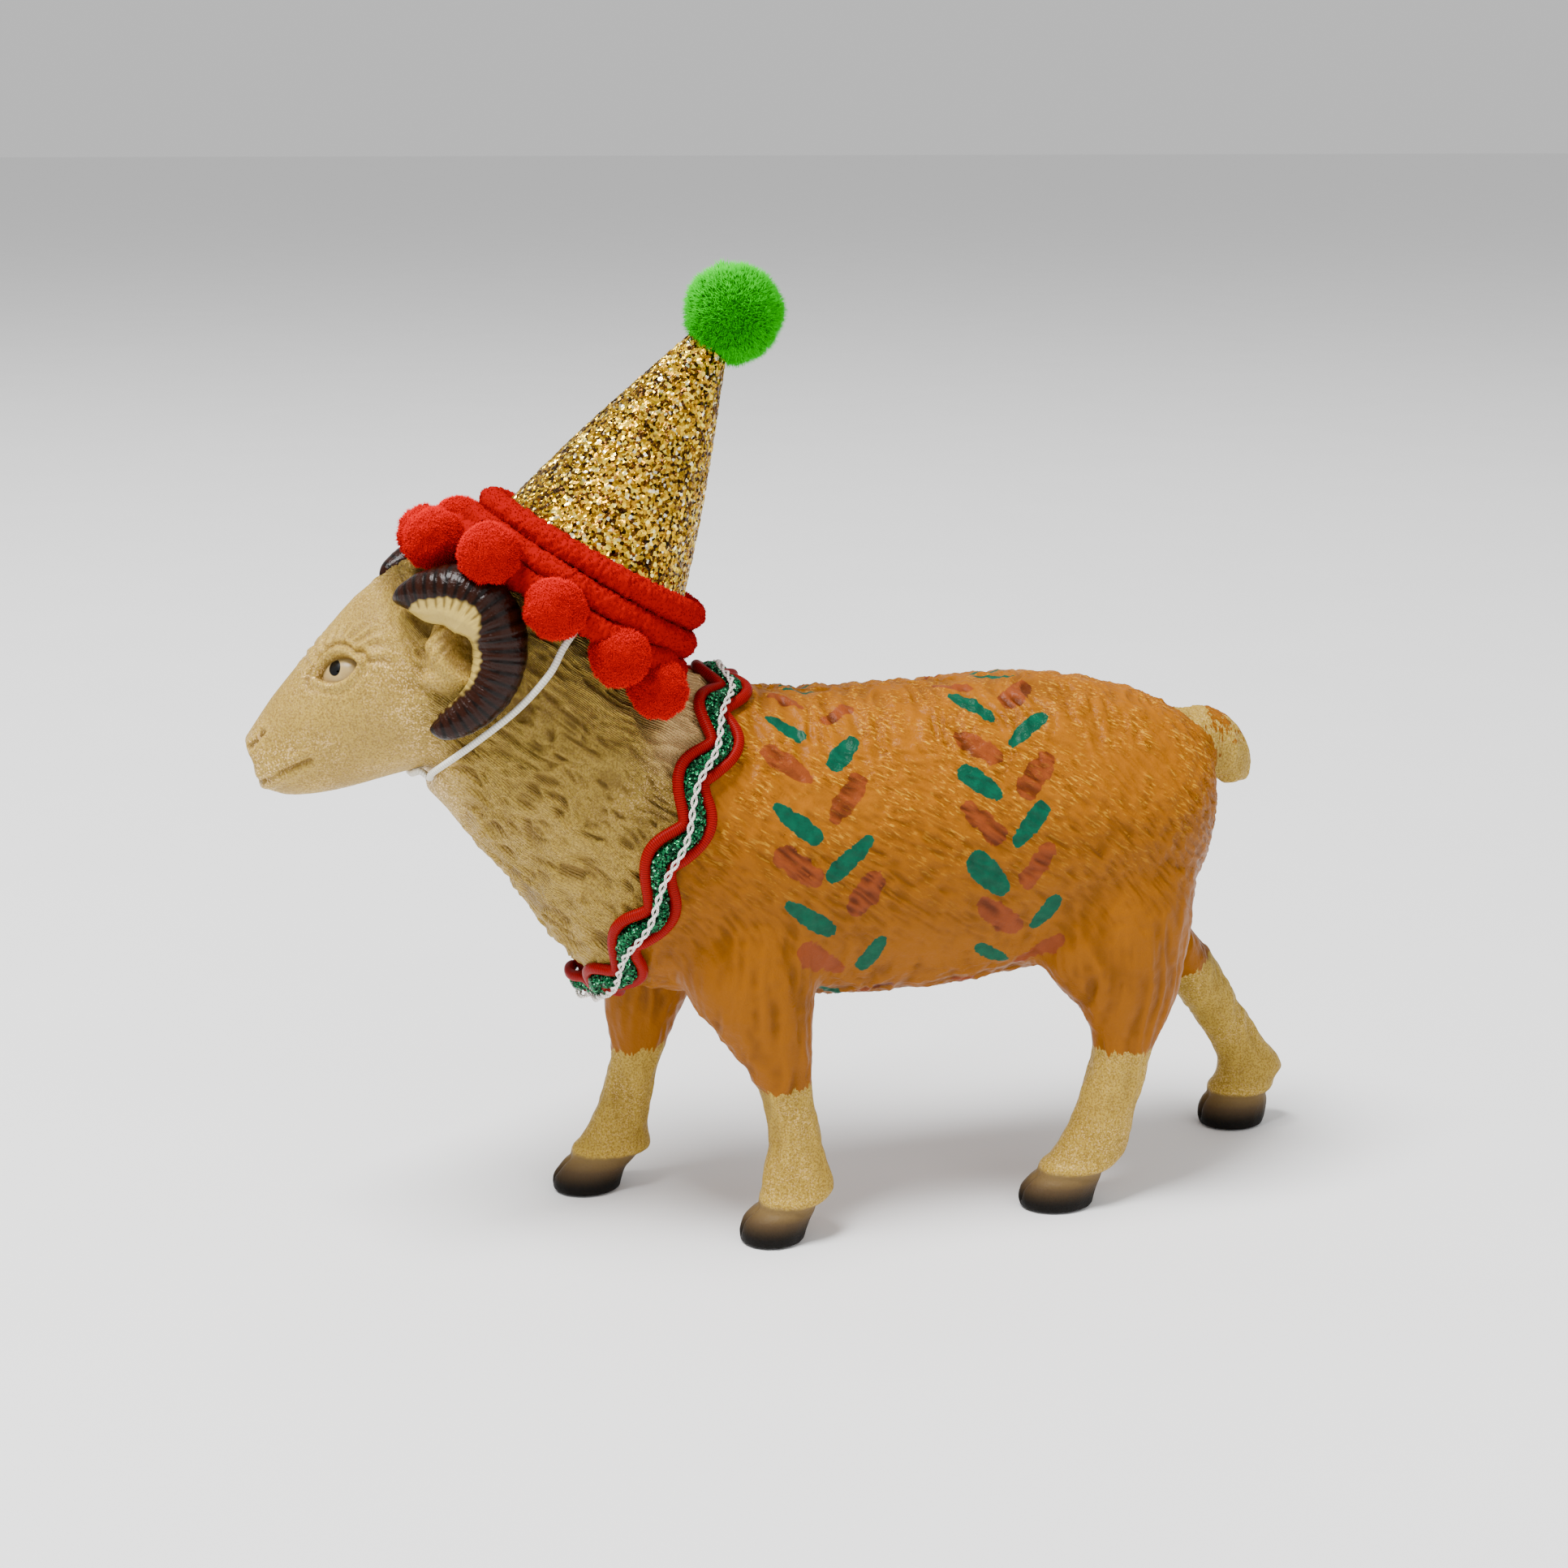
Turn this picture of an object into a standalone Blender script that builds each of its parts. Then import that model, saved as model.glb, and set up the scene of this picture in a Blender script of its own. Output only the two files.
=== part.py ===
"""Moulded vinyl ram in a walking pose, with a rickrack collar glued round the root of its neck and a
glittered party hat held on its head by an elastic chin strap.

Metres, +Z up. The ram looks along -Y, its left side is +X and its hooves stand on Z = 0.
"""

import math

import bmesh
import bpy
from mathutils import Matrix, Vector

MM = 0.001
GAP = 0.3 * MM  # clearance kept between pieces that touch

# Driving dimensions
SHIFT_Y = -7.32 * MM  # puts the origin at the middle of the whole length
WALL = 2.6 * MM  # thickness of the hollow castings
CORE_OVERRUN = 2 * MM  # how far a hollow's cutter reaches past the open end of its casting

COLLAR_WAVES = 11.5
COLLAR_WAVE = 2.1 * MM  # sideways swing of the rickrack
COLLAR_LENGTH = 186 * MM  # once round the root of the neck
COLLAR_BOW = 2.0 * MM  # the collar rides forward on the neck's sides
COLLAR_CORD_R = 1.0 * MM
COLLAR_BRAID_R = 1.15 * MM
COLLAR_THREAD_R = 0.55 * MM
COLLAR_SPACING = 2.55 * MM  # from the braid's middle to each cord's
COLLAR_OPEN = 0.024  # part of the way round that stays open under the chest

HAT_BASE = Vector((0, -40.9, 128.7)) * MM  # centre of the hat's lower rim
HAT_LEAN = math.radians(30.0)  # the hat leans back by this from upright
HAT_RIM_R = 21.2 * MM
HAT_TIP_R = 3.4 * MM
HAT_HEIGHT = 53.5 * MM
HAT_BULGE = 0.9 * MM  # the card swells a little between rim and tip
CARD = 0.8 * MM  # glittered card
POMPOM_R = 9.8 * MM
POMPOM_BACK = 1.4 * MM  # the pompom sits a little behind the hat's tip
POMPOM_LIFT = 6.4 * MM
TRIM_R = 1.9 * MM  # one row of chenille braid
TRIM_ROWS = 3
TRIM_DROP = -0.6 * MM  # the lowest row hangs over the rim
BALL_R = 5.7 * MM  # one ball of the fringe
ELASTIC_R = 0.65 * MM

# How finely the curved pieces are drawn: points round a section, and sections along a piece
TRUNK_SIDES = 32
TORSO_ROWS = 22
HEAD_ROWS = 28
CORE_SIDES = 16
CORE_ROWS = 12
LEG_SIDES = 16
LEG_ROWS = 20
TAIL_SIDES = 16
TAIL_ROWS = 12
HORN_SIDES = 12
HORN_ROWS = 24
COLLAR_POINTS = 80
STRAP_POINTS = 22  # from one end to the throat
HAT_ROWS = 6
TRIM_SIDES = 8
TURNED_STEPS = 32

COLOURS = {
    "ochre_paint": ((0.62, 0.33, 0.05), 0.45, 0.0),
    "cream_vinyl": ((0.72, 0.60, 0.36), 0.5, 0.0),
    "horn_paint": ((0.045, 0.02, 0.015), 0.25, 0.0),
    "red_cord": ((0.5, 0.01, 0.01), 0.4, 0.0),
    "green_tinsel": ((0.0, 0.2, 0.08), 0.3, 0.6),
    "white_thread": ((0.85, 0.82, 0.78), 0.8, 0.0),
    "gold_glitter": ((0.6, 0.38, 0.06), 0.3, 0.8),
    "green_pompom": ((0.03, 0.5, 0.0), 1.0, 0.0),
    "red_chenille": ((0.7, 0.01, 0.01), 1.0, 0.0),
    "white_elastic": ((0.8, 0.8, 0.76), 0.7, 0.0),
}

# The body outline from the rump to the neck joint, and on to the nose. Each station is a flat
# section: y and z of its centre, its lean back from upright in degrees, then its half width, its
# height above the centre and its depth below it.
TORSO = [
    (88.6, 81.2, 4, 5.5, 7.5, 8.0),
    (86.2, 79.8, 4, 13.0, 14.4, 16.0),
    (80.7, 78.4, 4, 19.0, 20.6, 21.8),
    (72.4, 77.7, 3, 22.8, 25.5, 25.0),
    (60.8, 77.2, 1, 24.6, 29.4, 27.5),
    (46.0, 76.7, 1, 25.2, 31.6, 29.5),
    (28.0, 76.0, 2, 25.6, 31.6, 31.0),
    (10.0, 76.2, 6, 25.2, 31.2, 31.0),
    (-7.0, 77.2, 13, 24.4, 31.2, 31.0),
    (-25.8, 80.9, 23, 23.6, 31.2, 32.2),
]
NECK = [
    (-25.8, 80.9, 23, 23.6, 31.2, 32.2),
    (-33.5, 86.2, 32, 22.6, 29.8, 27.6),
    (-40.5, 92.7, 39, 21.5, 27.2, 23.8),
    (-47.5, 99.5, 42, 20.0, 25.0, 22.6),
    (-53.5, 105.9, 38, 18.6, 25.0, 22.0),
    (-60.0, 111.5, 27, 17.6, 26.0, 21.8),
    (-65.0, 113.5, 14, 16.8, 24.2, 18.8),
    (-71.0, 113.4, 2, 16.0, 22.4, 17.4),
    (-77.5, 111.6, -8, 14.4, 19.0, 16.4),
    (-83.5, 108.9, -13, 12.4, 14.8, 15.2),
    (-89.5, 105.6, -16, 10.2, 11.6, 13.4),
    (-94.8, 102.7, -18, 8.6, 8.9, 11.0),
    (-99.0, 100.5, -18, 7.2, 6.2, 8.6),
    (-102.0, 99.3, -16, 5.0, 3.8, 5.4),
]

# Each leg from the trunk down to the sole: z, y of its front and back edges, x of its middle and
# its half width there.
FORE_LEFT = [
    (80, -24.0, 9.0, 11.0, 10.0),
    (63, -26.0, 5.5, 13.6, 10.4),
    (51.5, -23.2, 2.4, 15.4, 9.4),
    (43, -17.0, 1.2, 16.4, 7.8),
    (35.5, -11.8, 1.0, 16.8, 6.4),
    (30, -8.8, 1.1, 17.0, 5.6),
    (21.3, -7.2, 2.8, 17.2, 4.8),
    (14.6, -8.5, 4.8, 17.4, 4.9),
    (10.3, -9.0, 6.0, 17.6, 5.4),
    (7.9, -9.2, 3.2, 17.7, 5.6),
    (4, -13.2, 0.8, 17.8, 6.0),
    (0, -13.4, -0.4, 17.8, 6.0),
]
FORE_RIGHT = [
    (80, -25.0, -2.0, -11.0, 10.0),
    (63, -28.5, -8.0, -13.4, 10.0),
    (51, -32.4, -12.4, -15.0, 8.6),
    (42, -34.0, -16.6, -15.8, 7.6),
    (35, -33.2, -19.8, -16.2, 6.4),
    (28.4, -32.6, -22.5, -16.4, 5.4),
    (20, -34.6, -24.2, -16.5, 4.8),
    (12.5, -38.2, -25.2, -16.5, 5.0),
    (8.2, -41.2, -24.8, -16.4, 5.5),
    (5.4, -43.4, -29.2, -16.3, 5.8),
    (2.6, -45.6, -30.6, -16.2, 6.0),
    (0, -45.2, -31.2, -16.2, 6.0),
]
HIND_LEFT = [
    (86, 54.0, 80.0, 9.0, 9.0),
    (72, 50.0, 82.5, 12.2, 11.0),
    (61, 47.2, 81.0, 14.0, 11.2),
    (51.4, 49.0, 79.0, 15.2, 10.0),
    (42.5, 57.2, 77.0, 15.8, 7.8),
    (34.5, 61.0, 73.0, 16.0, 6.2),
    (25, 58.8, 70.8, 16.0, 5.0),
    (17, 55.9, 69.2, 16.0, 4.7),
    (10.8, 52.0, 68.2, 15.8, 5.2),
    (7.6, 49.5, 64.0, 15.6, 5.6),
    (3.4, 45.6, 62.0, 15.4, 6.0),
    (0, 46.0, 61.4, 15.3, 6.0),
]
HIND_RIGHT = [
    (86, 58.0, 80.0, -9.0, 9.0),
    (72, 60.0, 81.0, -12.2, 10.6),
    (60, 66.0, 84.0, -13.8, 10.2),
    (50, 76.0, 90.4, -14.8, 8.4),
    (41.5, 83.6, 98.6, -15.6, 6.8),
    (34, 89.6, 103.0, -16.0, 5.7),
    (26.3, 96.4, 107.8, -16.4, 4.9),
    (18, 101.4, 113.8, -16.6, 4.7),
    (13.2, 102.8, 118.0, -16.8, 5.1),
    (8.4, 101.0, 114.6, -16.9, 5.6),
    (3.6, 98.6, 114.4, -17.0, 6.0),
    (0, 99.2, 113.6, -17.1, 6.0),
]

# The tail, from inside the rump out to its drooping tip: x, y, z and radius.
TAIL = [(0, 80, 92, 4.2), (0, 85.5, 94.0, 5.4), (0, 90.6, 92.2, 5.8), (0, 94.2, 87.2, 4.7), (0, 95.2, 83.4, 3.0)]

# The left horn, from the forehead over the ear and down behind it: x, y, z and radius.
HORN = [
    (12.4, -76.2, 130.6, 1.2),
    (14.0, -73.2, 131.7, 2.7),
    (15.6, -69.6, 132.6, 3.9),
    (17.4, -65.0, 132.6, 4.8),
    (19.2, -60.8, 130.3, 5.2),
    (20.4, -58.4, 125.9, 5.2),
    (21.0, -58.2, 120.3, 4.9),
    (21.3, -60.2, 114.9, 4.3),
    (21.4, -64.0, 110.9, 3.6),
    (21.2, -68.2, 108.6, 2.7),
    (21.0, -71.2, 107.9, 1.2),
]
EAR_AT = Vector((16.4, -67.0, 121.0)) * MM
EAR_HALF = Vector((3.6, 7.8, 7.4)) * MM

# The chin strap's left half, from the knot inside the rim down to the throat.
STRAP = [
    (18.2, -40.8, 131.6),
    (19.6, -42.0, 128.4),
    (21.0, -44.2, 125.2),
    (22.2, -46.8, 122.0),
    (22.8, -49.6, 117.4),
    (21.8, -55.2, 111.2),
    (19.2, -62.4, 105.0),
    (13.8, -69.0, 99.0),
    (6.6, -72.2, 95.0),
    (0.0, -73.0, 94.0),
]

# Fringe balls: the turn of each round the hat's axis from the front towards the left side, its
# distance from that axis, and its height above the rim.
BALLS = [
    (13, 29.8, -3.2),
    (44, 30.0, 0.2),
    (74, 26.2, -2.8),
    (109, 24.4, -5.0),
    (134, 26.6, -7.6),
    (-14, 29.2, -4.2),
    (-45, 30.2, -0.8),
    (-74, 26.2, -2.8),
    (-118, 24.6, -6.0),
]


def clear_scene():
    """Remove every object of the open scene."""
    for obj in list(bpy.data.objects):
        bpy.data.objects.remove(obj)


def new_collection(name, rendered=True):
    """A collection linked to the scene."""
    collection = bpy.data.collections.new(name)
    bpy.context.scene.collection.children.link(collection)
    collection.hide_render = not rendered
    return collection


def new_material(name):
    """A Principled material from COLOURS."""
    colour, roughness, metallic = COLOURS[name]
    material = bpy.data.materials.new(name)
    material.use_nodes = True
    shader = material.node_tree.nodes["Principled BSDF"]
    shader.inputs["Base Color"].default_value = (*colour, 1)
    shader.inputs["Roughness"].default_value = roughness
    shader.inputs["Metallic"].default_value = metallic
    return material


def add_object(name, data, material=None):
    """Put mesh or curve data in the ram's collection, or among the cutters when it has no material."""
    obj = bpy.data.objects.new(name, data)
    if material:
        obj.data.materials.append(MATERIALS[material])
        PIECES.objects.link(obj)
        return obj
    CUTTERS.objects.link(obj)
    obj.hide_render = True
    obj.display_type = "WIRE"
    return obj


def spline_value(values, at):
    """The Catmull-Rom curve through the tuples in values, at a place counted in stations."""
    last = len(values) - 1
    low = min(int(at), last - 1)
    part = at - low
    before, start, end, after = (values[min(max(low + step, 0), last)] for step in (-1, 0, 1, 2))
    return tuple(
        0.5 * (2 * b + (c - a) * part + (2 * a - 5 * b + 4 * c - d) * part**2 + (3 * b - a - 3 * c + d) * part**3)
        for a, b, c, d in zip(before, start, end, after)
    )


def spread(values, count):
    """count tuples, evenly spaced in stations, on the smooth curve through values."""
    last = len(values) - 1
    return [spline_value(values, last * index / (count - 1)) for index in range(count)]


def ring_angles(points):
    """The turn of each point of one section."""
    return [2 * math.pi * index / points for index in range(points)]


def loft_mesh(name, rings):
    """A closed skin over rings of equally many points, with a flat fan at each end."""
    mesh = bmesh.new()
    rows = [[mesh.verts.new(point) for point in ring] for ring in rings]
    count = len(rows[0])
    for low, high in zip(rows, rows[1:]):
        for index in range(count):
            after = (index + 1) % count
            mesh.faces.new((low[index], low[after], high[after], high[index]))
    mesh.faces.new(rows[0])
    mesh.faces.new(rows[-1])
    bmesh.ops.triangulate(mesh, faces=[face for face in mesh.faces if len(face.verts) > 4])
    bmesh.ops.recalc_face_normals(mesh, faces=mesh.faces)
    data = bpy.data.meshes.new(name)
    mesh.to_mesh(data)
    mesh.free()
    data.shade_smooth()
    return data


def trunk_ring(station, points, inset=0.0):
    """One egg-shaped section of the trunk or the head, drawn in by inset."""
    y, z, lean, half_width, above, below = station
    lean = math.radians(lean)
    centre = Vector((0, y * MM + SHIFT_Y, z * MM))
    up = Vector((0, math.sin(lean), math.cos(lean)))
    ring = []
    for angle in ring_angles(points):
        height = above if math.sin(angle) > 0 else below
        sideways = (half_width * MM - inset) * math.cos(angle)
        ring.append(centre + Vector((sideways, 0, 0)) + up * (height * MM - inset) * math.sin(angle))
    return ring


def cut(obj, cutter):
    """Take the cutter's shape away from obj."""
    modifier = obj.modifiers.new("cut", "BOOLEAN")
    modifier.operation = "DIFFERENCE"
    modifier.object = cutter
    bpy.context.view_layer.update()
    evaluated = obj.evaluated_get(bpy.context.evaluated_depsgraph_get())
    data = bpy.data.meshes.new_from_object(evaluated)
    obj.modifiers.remove(modifier)
    obj.data = data
    data.shade_smooth()


def trunk_sections(stations, rows, inset=0.0):
    """Rings of the trunk's or the head's skin, evenly spread through its stations."""
    return [trunk_ring(station, TRUNK_SIDES, inset) for station in spread(stations, rows)]


def core_sections(stations, inward):
    """Rings of a casting's hollow, from its closed end on and past its open end."""
    rings = [trunk_ring(station, CORE_SIDES, WALL) for station in spread(stations, CORE_ROWS)]
    return rings + [[point - inward * CORE_OVERRUN for point in rings[-1]]]


def trunk_castings():
    """The hollow trunk and the hollow head with its neck, open to each other at the collar."""
    lean = math.radians(NECK[0][2])
    forward = Vector((0, -math.cos(lean), math.sin(lean)))
    torso = add_object("torso", loft_mesh("torso", trunk_sections(TORSO, TORSO_ROWS)), "ochre_paint")
    head = add_object("head_and_neck", loft_mesh("head_and_neck", trunk_sections(NECK, HEAD_ROWS)), "cream_vinyl")
    head.data.transform(Matrix.Translation(forward * GAP))
    cut(torso, add_object("torso_core", loft_mesh("torso_core", core_sections(TORSO[1:], -forward))))
    cut(head, add_object("head_core", loft_mesh("head_core", core_sections(NECK[10::-1], forward))))


def swollen_trunk():
    """Cutters that hold the clearance round the trunk and the head."""
    return (
        add_object("trunk_clearance", loft_mesh("trunk_clearance", trunk_sections(TORSO, TORSO_ROWS, -GAP))),
        add_object("head_clearance", loft_mesh("head_clearance", trunk_sections(NECK, HEAD_ROWS, -GAP))),
    )


def leg_ring(station, points):
    """One level section of a leg, rounder in front than an ellipse."""
    z, front, back, middle, half_width = station
    centre = Vector((middle * MM, (front + back) / 2 * MM + SHIFT_Y, z * MM))
    reach = (back - front) / 2 * MM
    return [
        centre + Vector((half_width * MM * math.cos(angle), reach * math.sin(angle), 0))
        for angle in ring_angles(points)
    ]


def leg(name, stations, clearance):
    """A leg with its hoof, cut to lie on the trunk."""
    rings = [leg_ring(station, LEG_SIDES) for station in spread(stations, LEG_ROWS)]
    piece = add_object(name, loft_mesh(name, rings), "cream_vinyl")
    cut(piece, clearance)
    keep_largest(piece)


def keep_largest(obj):
    """Drop every loose part of obj but the one with the most faces."""
    mesh = bmesh.new()
    mesh.from_mesh(obj.data)
    unseen = set(mesh.verts)
    parts = []
    while unseen:
        stack = [unseen.pop()]
        part = set(stack)
        while stack:
            for edge in stack.pop().link_edges:
                for vert in edge.verts:
                    if vert in unseen:
                        unseen.discard(vert)
                        part.add(vert)
                        stack.append(vert)
        parts.append(part)
    largest = max(parts, key=len)
    bmesh.ops.delete(mesh, geom=[vert for vert in mesh.verts if vert not in largest], context="VERTS")
    mesh.to_mesh(obj.data)
    mesh.free()


def tapered_rings(stations, points, side=1, grow=0.0):
    """Round sections square to the smooth curve through stations of x, y, z and radius."""
    rings = []
    places = [Vector((side * x * MM, y * MM + SHIFT_Y, z * MM)) for x, y, z, _ in stations]
    for index, place in enumerate(places):
        along = places[min(index + 1, len(places) - 1)] - places[max(index - 1, 0)]
        turn = along.to_track_quat("Z", "X").to_matrix()
        radius = stations[index][3] * MM + grow
        rings.append(
            [place + turn @ Vector((radius * math.cos(a), radius * math.sin(a), 0)) for a in ring_angles(points)]
        )
    return rings


def tail(clearance):
    """The short woolly tail on the rump."""
    rings = tapered_rings(spread(TAIL, TAIL_ROWS), TAIL_SIDES)
    piece = add_object("tail", loft_mesh("tail", rings), "cream_vinyl")
    cut(piece, clearance)
    keep_largest(piece)


def horn(name, side, clearance):
    """A curled horn, cut to lie on the skull."""
    rings = tapered_rings(spread(HORN, HORN_ROWS), HORN_SIDES, side)
    piece = add_object(name, loft_mesh(name, rings), "horn_paint")
    cut(piece, clearance)
    keep_largest(piece)


def horn_clearance(name, side):
    """A cutter that holds a clearance round a horn, wide enough for its flat facets."""
    rings = tapered_rings(spread(HORN, HORN_ROWS), HORN_SIDES, side, 3 * GAP)
    return add_object(name, loft_mesh(name, rings))


def ear(name, side, clearances):
    """A cupped ear inside the horn's curl: a flattened ball, cut to lie on the skull and the horn."""
    mesh = bmesh.new()
    bmesh.ops.create_uvsphere(mesh, u_segments=20, v_segments=12, radius=1.0)
    place = Matrix.Translation(Vector((side * EAR_AT.x, EAR_AT.y + SHIFT_Y, EAR_AT.z)))
    bmesh.ops.transform(mesh, matrix=place @ Matrix.Diagonal((*EAR_HALF, 1)), verts=mesh.verts)
    data = bpy.data.meshes.new(name)
    mesh.to_mesh(data)
    mesh.free()
    data.shade_smooth()
    piece = add_object(name, data, "cream_vinyl")
    for clearance in clearances:
        cut(piece, clearance)
    keep_largest(piece)


def tube(name, points, radius, material):
    """A round cord along points: a POLY curve with a bevel and filled caps, kept as a mesh."""
    data = bpy.data.curves.new(name, "CURVE")
    data.dimensions = "3D"
    data.bevel_depth = radius
    data.bevel_resolution = 2
    data.use_fill_caps = True
    spline = data.splines.new("POLY")
    spline.points.add(len(points) - 1)
    for target, point in zip(spline.points, points):
        target.co = (*point, 1)
    return add_object(name, data, material)


def skin_point(station, turn, out):
    """A place on one section of the trunk, turned round it from its left side, and lifted off the skin."""
    y, z, lean, half_width, above, below = station
    lean = math.radians(lean)
    up = Vector((0, math.sin(lean), math.cos(lean)))
    height = above if math.sin(turn) > 0 else below
    centre = Vector((0, y * MM + SHIFT_Y, z * MM))
    sideways = Vector(((half_width * MM + out) * math.cos(turn), 0, 0))
    return centre + sideways + up * (height * MM + out) * math.sin(turn)


def collar_point(turn, across, out):
    """A place on the skin at the neck joint: turned round it, moved back along the trunk and out."""
    start = skin_point(NECK[0], turn, out)
    along = skin_point(NECK[1] if across < 0 else TORSO[-2], turn, out) - start
    return start + along.normalized() * abs(across)


def rickrack_point(part, offset, out):
    """A place on a cord that runs beside the collar's wave, part of the way round from the chest."""
    pace = 2 * math.pi * COLLAR_WAVES / COLLAR_LENGTH
    slope = COLLAR_WAVE * pace * math.cos(2 * math.pi * COLLAR_WAVES * part)
    across = COLLAR_WAVE * math.sin(2 * math.pi * COLLAR_WAVES * part) + offset / math.hypot(1, slope)
    along = part - offset * slope / math.hypot(1, slope) / COLLAR_LENGTH
    turn = math.radians(-90) + 2 * math.pi * along
    return collar_point(turn, across - COLLAR_BOW * math.cos(turn) ** 2, out)


def collar():
    """Two red cords and a green braid that wave together, with a straight white thread over them."""
    cords = (
        ("collar_cord_front", -COLLAR_SPACING, COLLAR_CORD_R, "red_cord"),
        ("collar_cord_rear", COLLAR_SPACING, COLLAR_CORD_R, "red_cord"),
        ("collar_braid", 0.0, COLLAR_BRAID_R, "green_tinsel"),
    )
    step = (1 - COLLAR_OPEN) / (COLLAR_POINTS - 1)
    parts = [COLLAR_OPEN / 2 + step * index for index in range(COLLAR_POINTS)]
    for name, offset, radius, material in cords:
        points = [rickrack_point(part, offset, radius + 2 * GAP) for part in parts]
        tube(name, points, radius, material)
    out = 2 * COLLAR_BRAID_R + COLLAR_THREAD_R + 4 * GAP
    points = []
    for part in parts[::2]:
        turn = math.radians(-90) + 2 * math.pi * part
        points.append(collar_point(turn, -COLLAR_BOW * math.cos(turn) ** 2, out))
    tube("collar_thread", points, COLLAR_THREAD_R, "white_thread")


def hat_frame():
    """The hat's own axes: its place in the world, with Z up its axis and -Y to its front."""
    place = HAT_BASE + Vector((0, SHIFT_Y, 0))
    return Matrix.Translation(place) @ Matrix.Rotation(-HAT_LEAN, 4, "X")


def hat_radius(height):
    """The cone's outer radius at a height above its rim."""
    part = height / HAT_HEIGHT
    return HAT_RIM_R + (HAT_TIP_R - HAT_RIM_R) * part + HAT_BULGE * math.sin(math.pi * part)


def turned(name, profile, material=None):
    """A closed profile of (radius, height) turned about the hat's axis, outer side top to bottom."""
    data = bpy.data.meshes.new(name)
    points = [(radius, 0, height) for radius, height in profile]
    edges = [(index, (index + 1) % len(points)) for index in range(len(points))]
    data.from_pydata(points, edges, [])
    obj = add_object(name, data, material)
    obj.matrix_world = hat_frame()
    screw = obj.modifiers.new("turn", "SCREW")
    screw.axis = "Z"
    screw.steps = TURNED_STEPS
    screw.render_steps = TURNED_STEPS
    screw.use_merge_vertices = True
    screw.merge_threshold = 0.00001
    screw.use_smooth_shade = True
    return obj


def hat_cone():
    """The card cone, open at the rim and at its narrow top."""
    heights = [HAT_HEIGHT * row / HAT_ROWS for row in range(HAT_ROWS + 1)]
    outer = [(hat_radius(height), height) for height in reversed(heights)]
    inner = [(hat_radius(height) - CARD, height) for height in heights]
    return turned("hat_cone", outer + inner, "gold_glitter")


def ball(name, at, radius, material, segments=14, rings=9):
    """A round pompom at a place in the hat's frame."""
    mesh = bmesh.new()
    bmesh.ops.create_uvsphere(mesh, u_segments=segments, v_segments=rings, radius=radius)
    data = bpy.data.meshes.new(name)
    mesh.to_mesh(data)
    mesh.free()
    data.shade_smooth()
    obj = add_object(name, data, material)
    obj.matrix_world = hat_frame() @ Matrix.Translation(at)
    return obj


def hat_pompom():
    """The pompom on the tip of the hat, hollowed to sit over it."""
    at = Vector((0, POMPOM_BACK, HAT_HEIGHT + POMPOM_LIFT))
    piece = ball("hat_pompom", at, POMPOM_R, "green_pompom", 20, 12)
    low = HAT_HEIGHT / 2
    space = [(0, HAT_HEIGHT + GAP), (HAT_TIP_R + GAP, HAT_HEIGHT + GAP), (hat_radius(low) + GAP, low), (0, low)]
    cut(piece, turned("tip_clearance", space))


def trim_profile(row, grow=0.0):
    """The round section of one row of braid, with each row resting on the one below."""
    height = TRIM_DROP + (2 * TRIM_R + GAP) * row
    ring = hat_radius(height) + TRIM_R + GAP
    reach = TRIM_R + grow
    return [(ring + reach * math.sin(a), height + reach * math.cos(a)) for a in ring_angles(TRIM_SIDES)]


def hat_trim(clearances):
    """Three rows of chenille braid wound round the rim, with a fringe of balls pressed to the lowest."""
    for row in range(TRIM_ROWS):
        turned(f"trim_braid_{row + 1}", trim_profile(row), "red_chenille")
    rows = [turned(f"trim_clearance_{row + 1}", trim_profile(row, GAP)) for row in range(2)]
    for index, (turn, reach, height) in enumerate(BALLS):
        turn = math.radians(turn)
        at = Vector((reach * math.sin(turn), -reach * math.cos(turn), height)) * MM
        piece = ball(f"trim_ball_{index + 1}", at, BALL_R, "red_chenille")
        for clearance in rows + clearances:
            cut(piece, clearance)
        keep_largest(piece)


def chin_strap():
    """The round elastic from rim to rim under the throat, with a knot inside the hat at each end."""
    half = spread([tuple(c * MM for c in point) for point in STRAP], STRAP_POINTS)
    left = [Vector((x, y + SHIFT_Y, z)) for x, y, z in half]
    right = [Vector((-point.x, point.y, point.z)) for point in reversed(left[:-1])]
    tube("chin_elastic", left + right, ELASTIC_R, "white_elastic")


clear_scene()
PIECES = new_collection("party_ram")
CUTTERS = new_collection("cutters", rendered=False)
MATERIALS = {name: new_material(name) for name in COLOURS}

trunk_castings()
trunk_clearance, head_clearance = swollen_trunk()
leg("leg_front_left", FORE_LEFT, trunk_clearance)
leg("leg_front_right", FORE_RIGHT, trunk_clearance)
leg("leg_hind_left", HIND_LEFT, trunk_clearance)
leg("leg_hind_right", HIND_RIGHT, trunk_clearance)
tail(trunk_clearance)
horn_clearances = []
for side_name, side in (("left", 1), ("right", -1)):
    horn(f"horn_{side_name}", side, head_clearance)
    horn_clearances.append(horn_clearance(f"horn_{side_name}_clearance", side))
    ear(f"ear_{side_name}", side, (horn_clearances[-1], head_clearance))
collar()
hat_cone()
hat_pompom()
hat_trim([head_clearance, *horn_clearances])
chin_strap()
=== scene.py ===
"""Looks of a moulded vinyl ram with a rickrack collar and a glittered party hat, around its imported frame.

Lengths are millimetres until a mesh is made from them. +Z is up, the ram looks along -Y and its left
side is +X. What both sides share is drawn for the left one and mirrored.
"""

import math

import bmesh
import bpy
import numpy as np
from mathutils import Matrix, Vector
from mathutils.bvhtree import BVHTree


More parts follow.
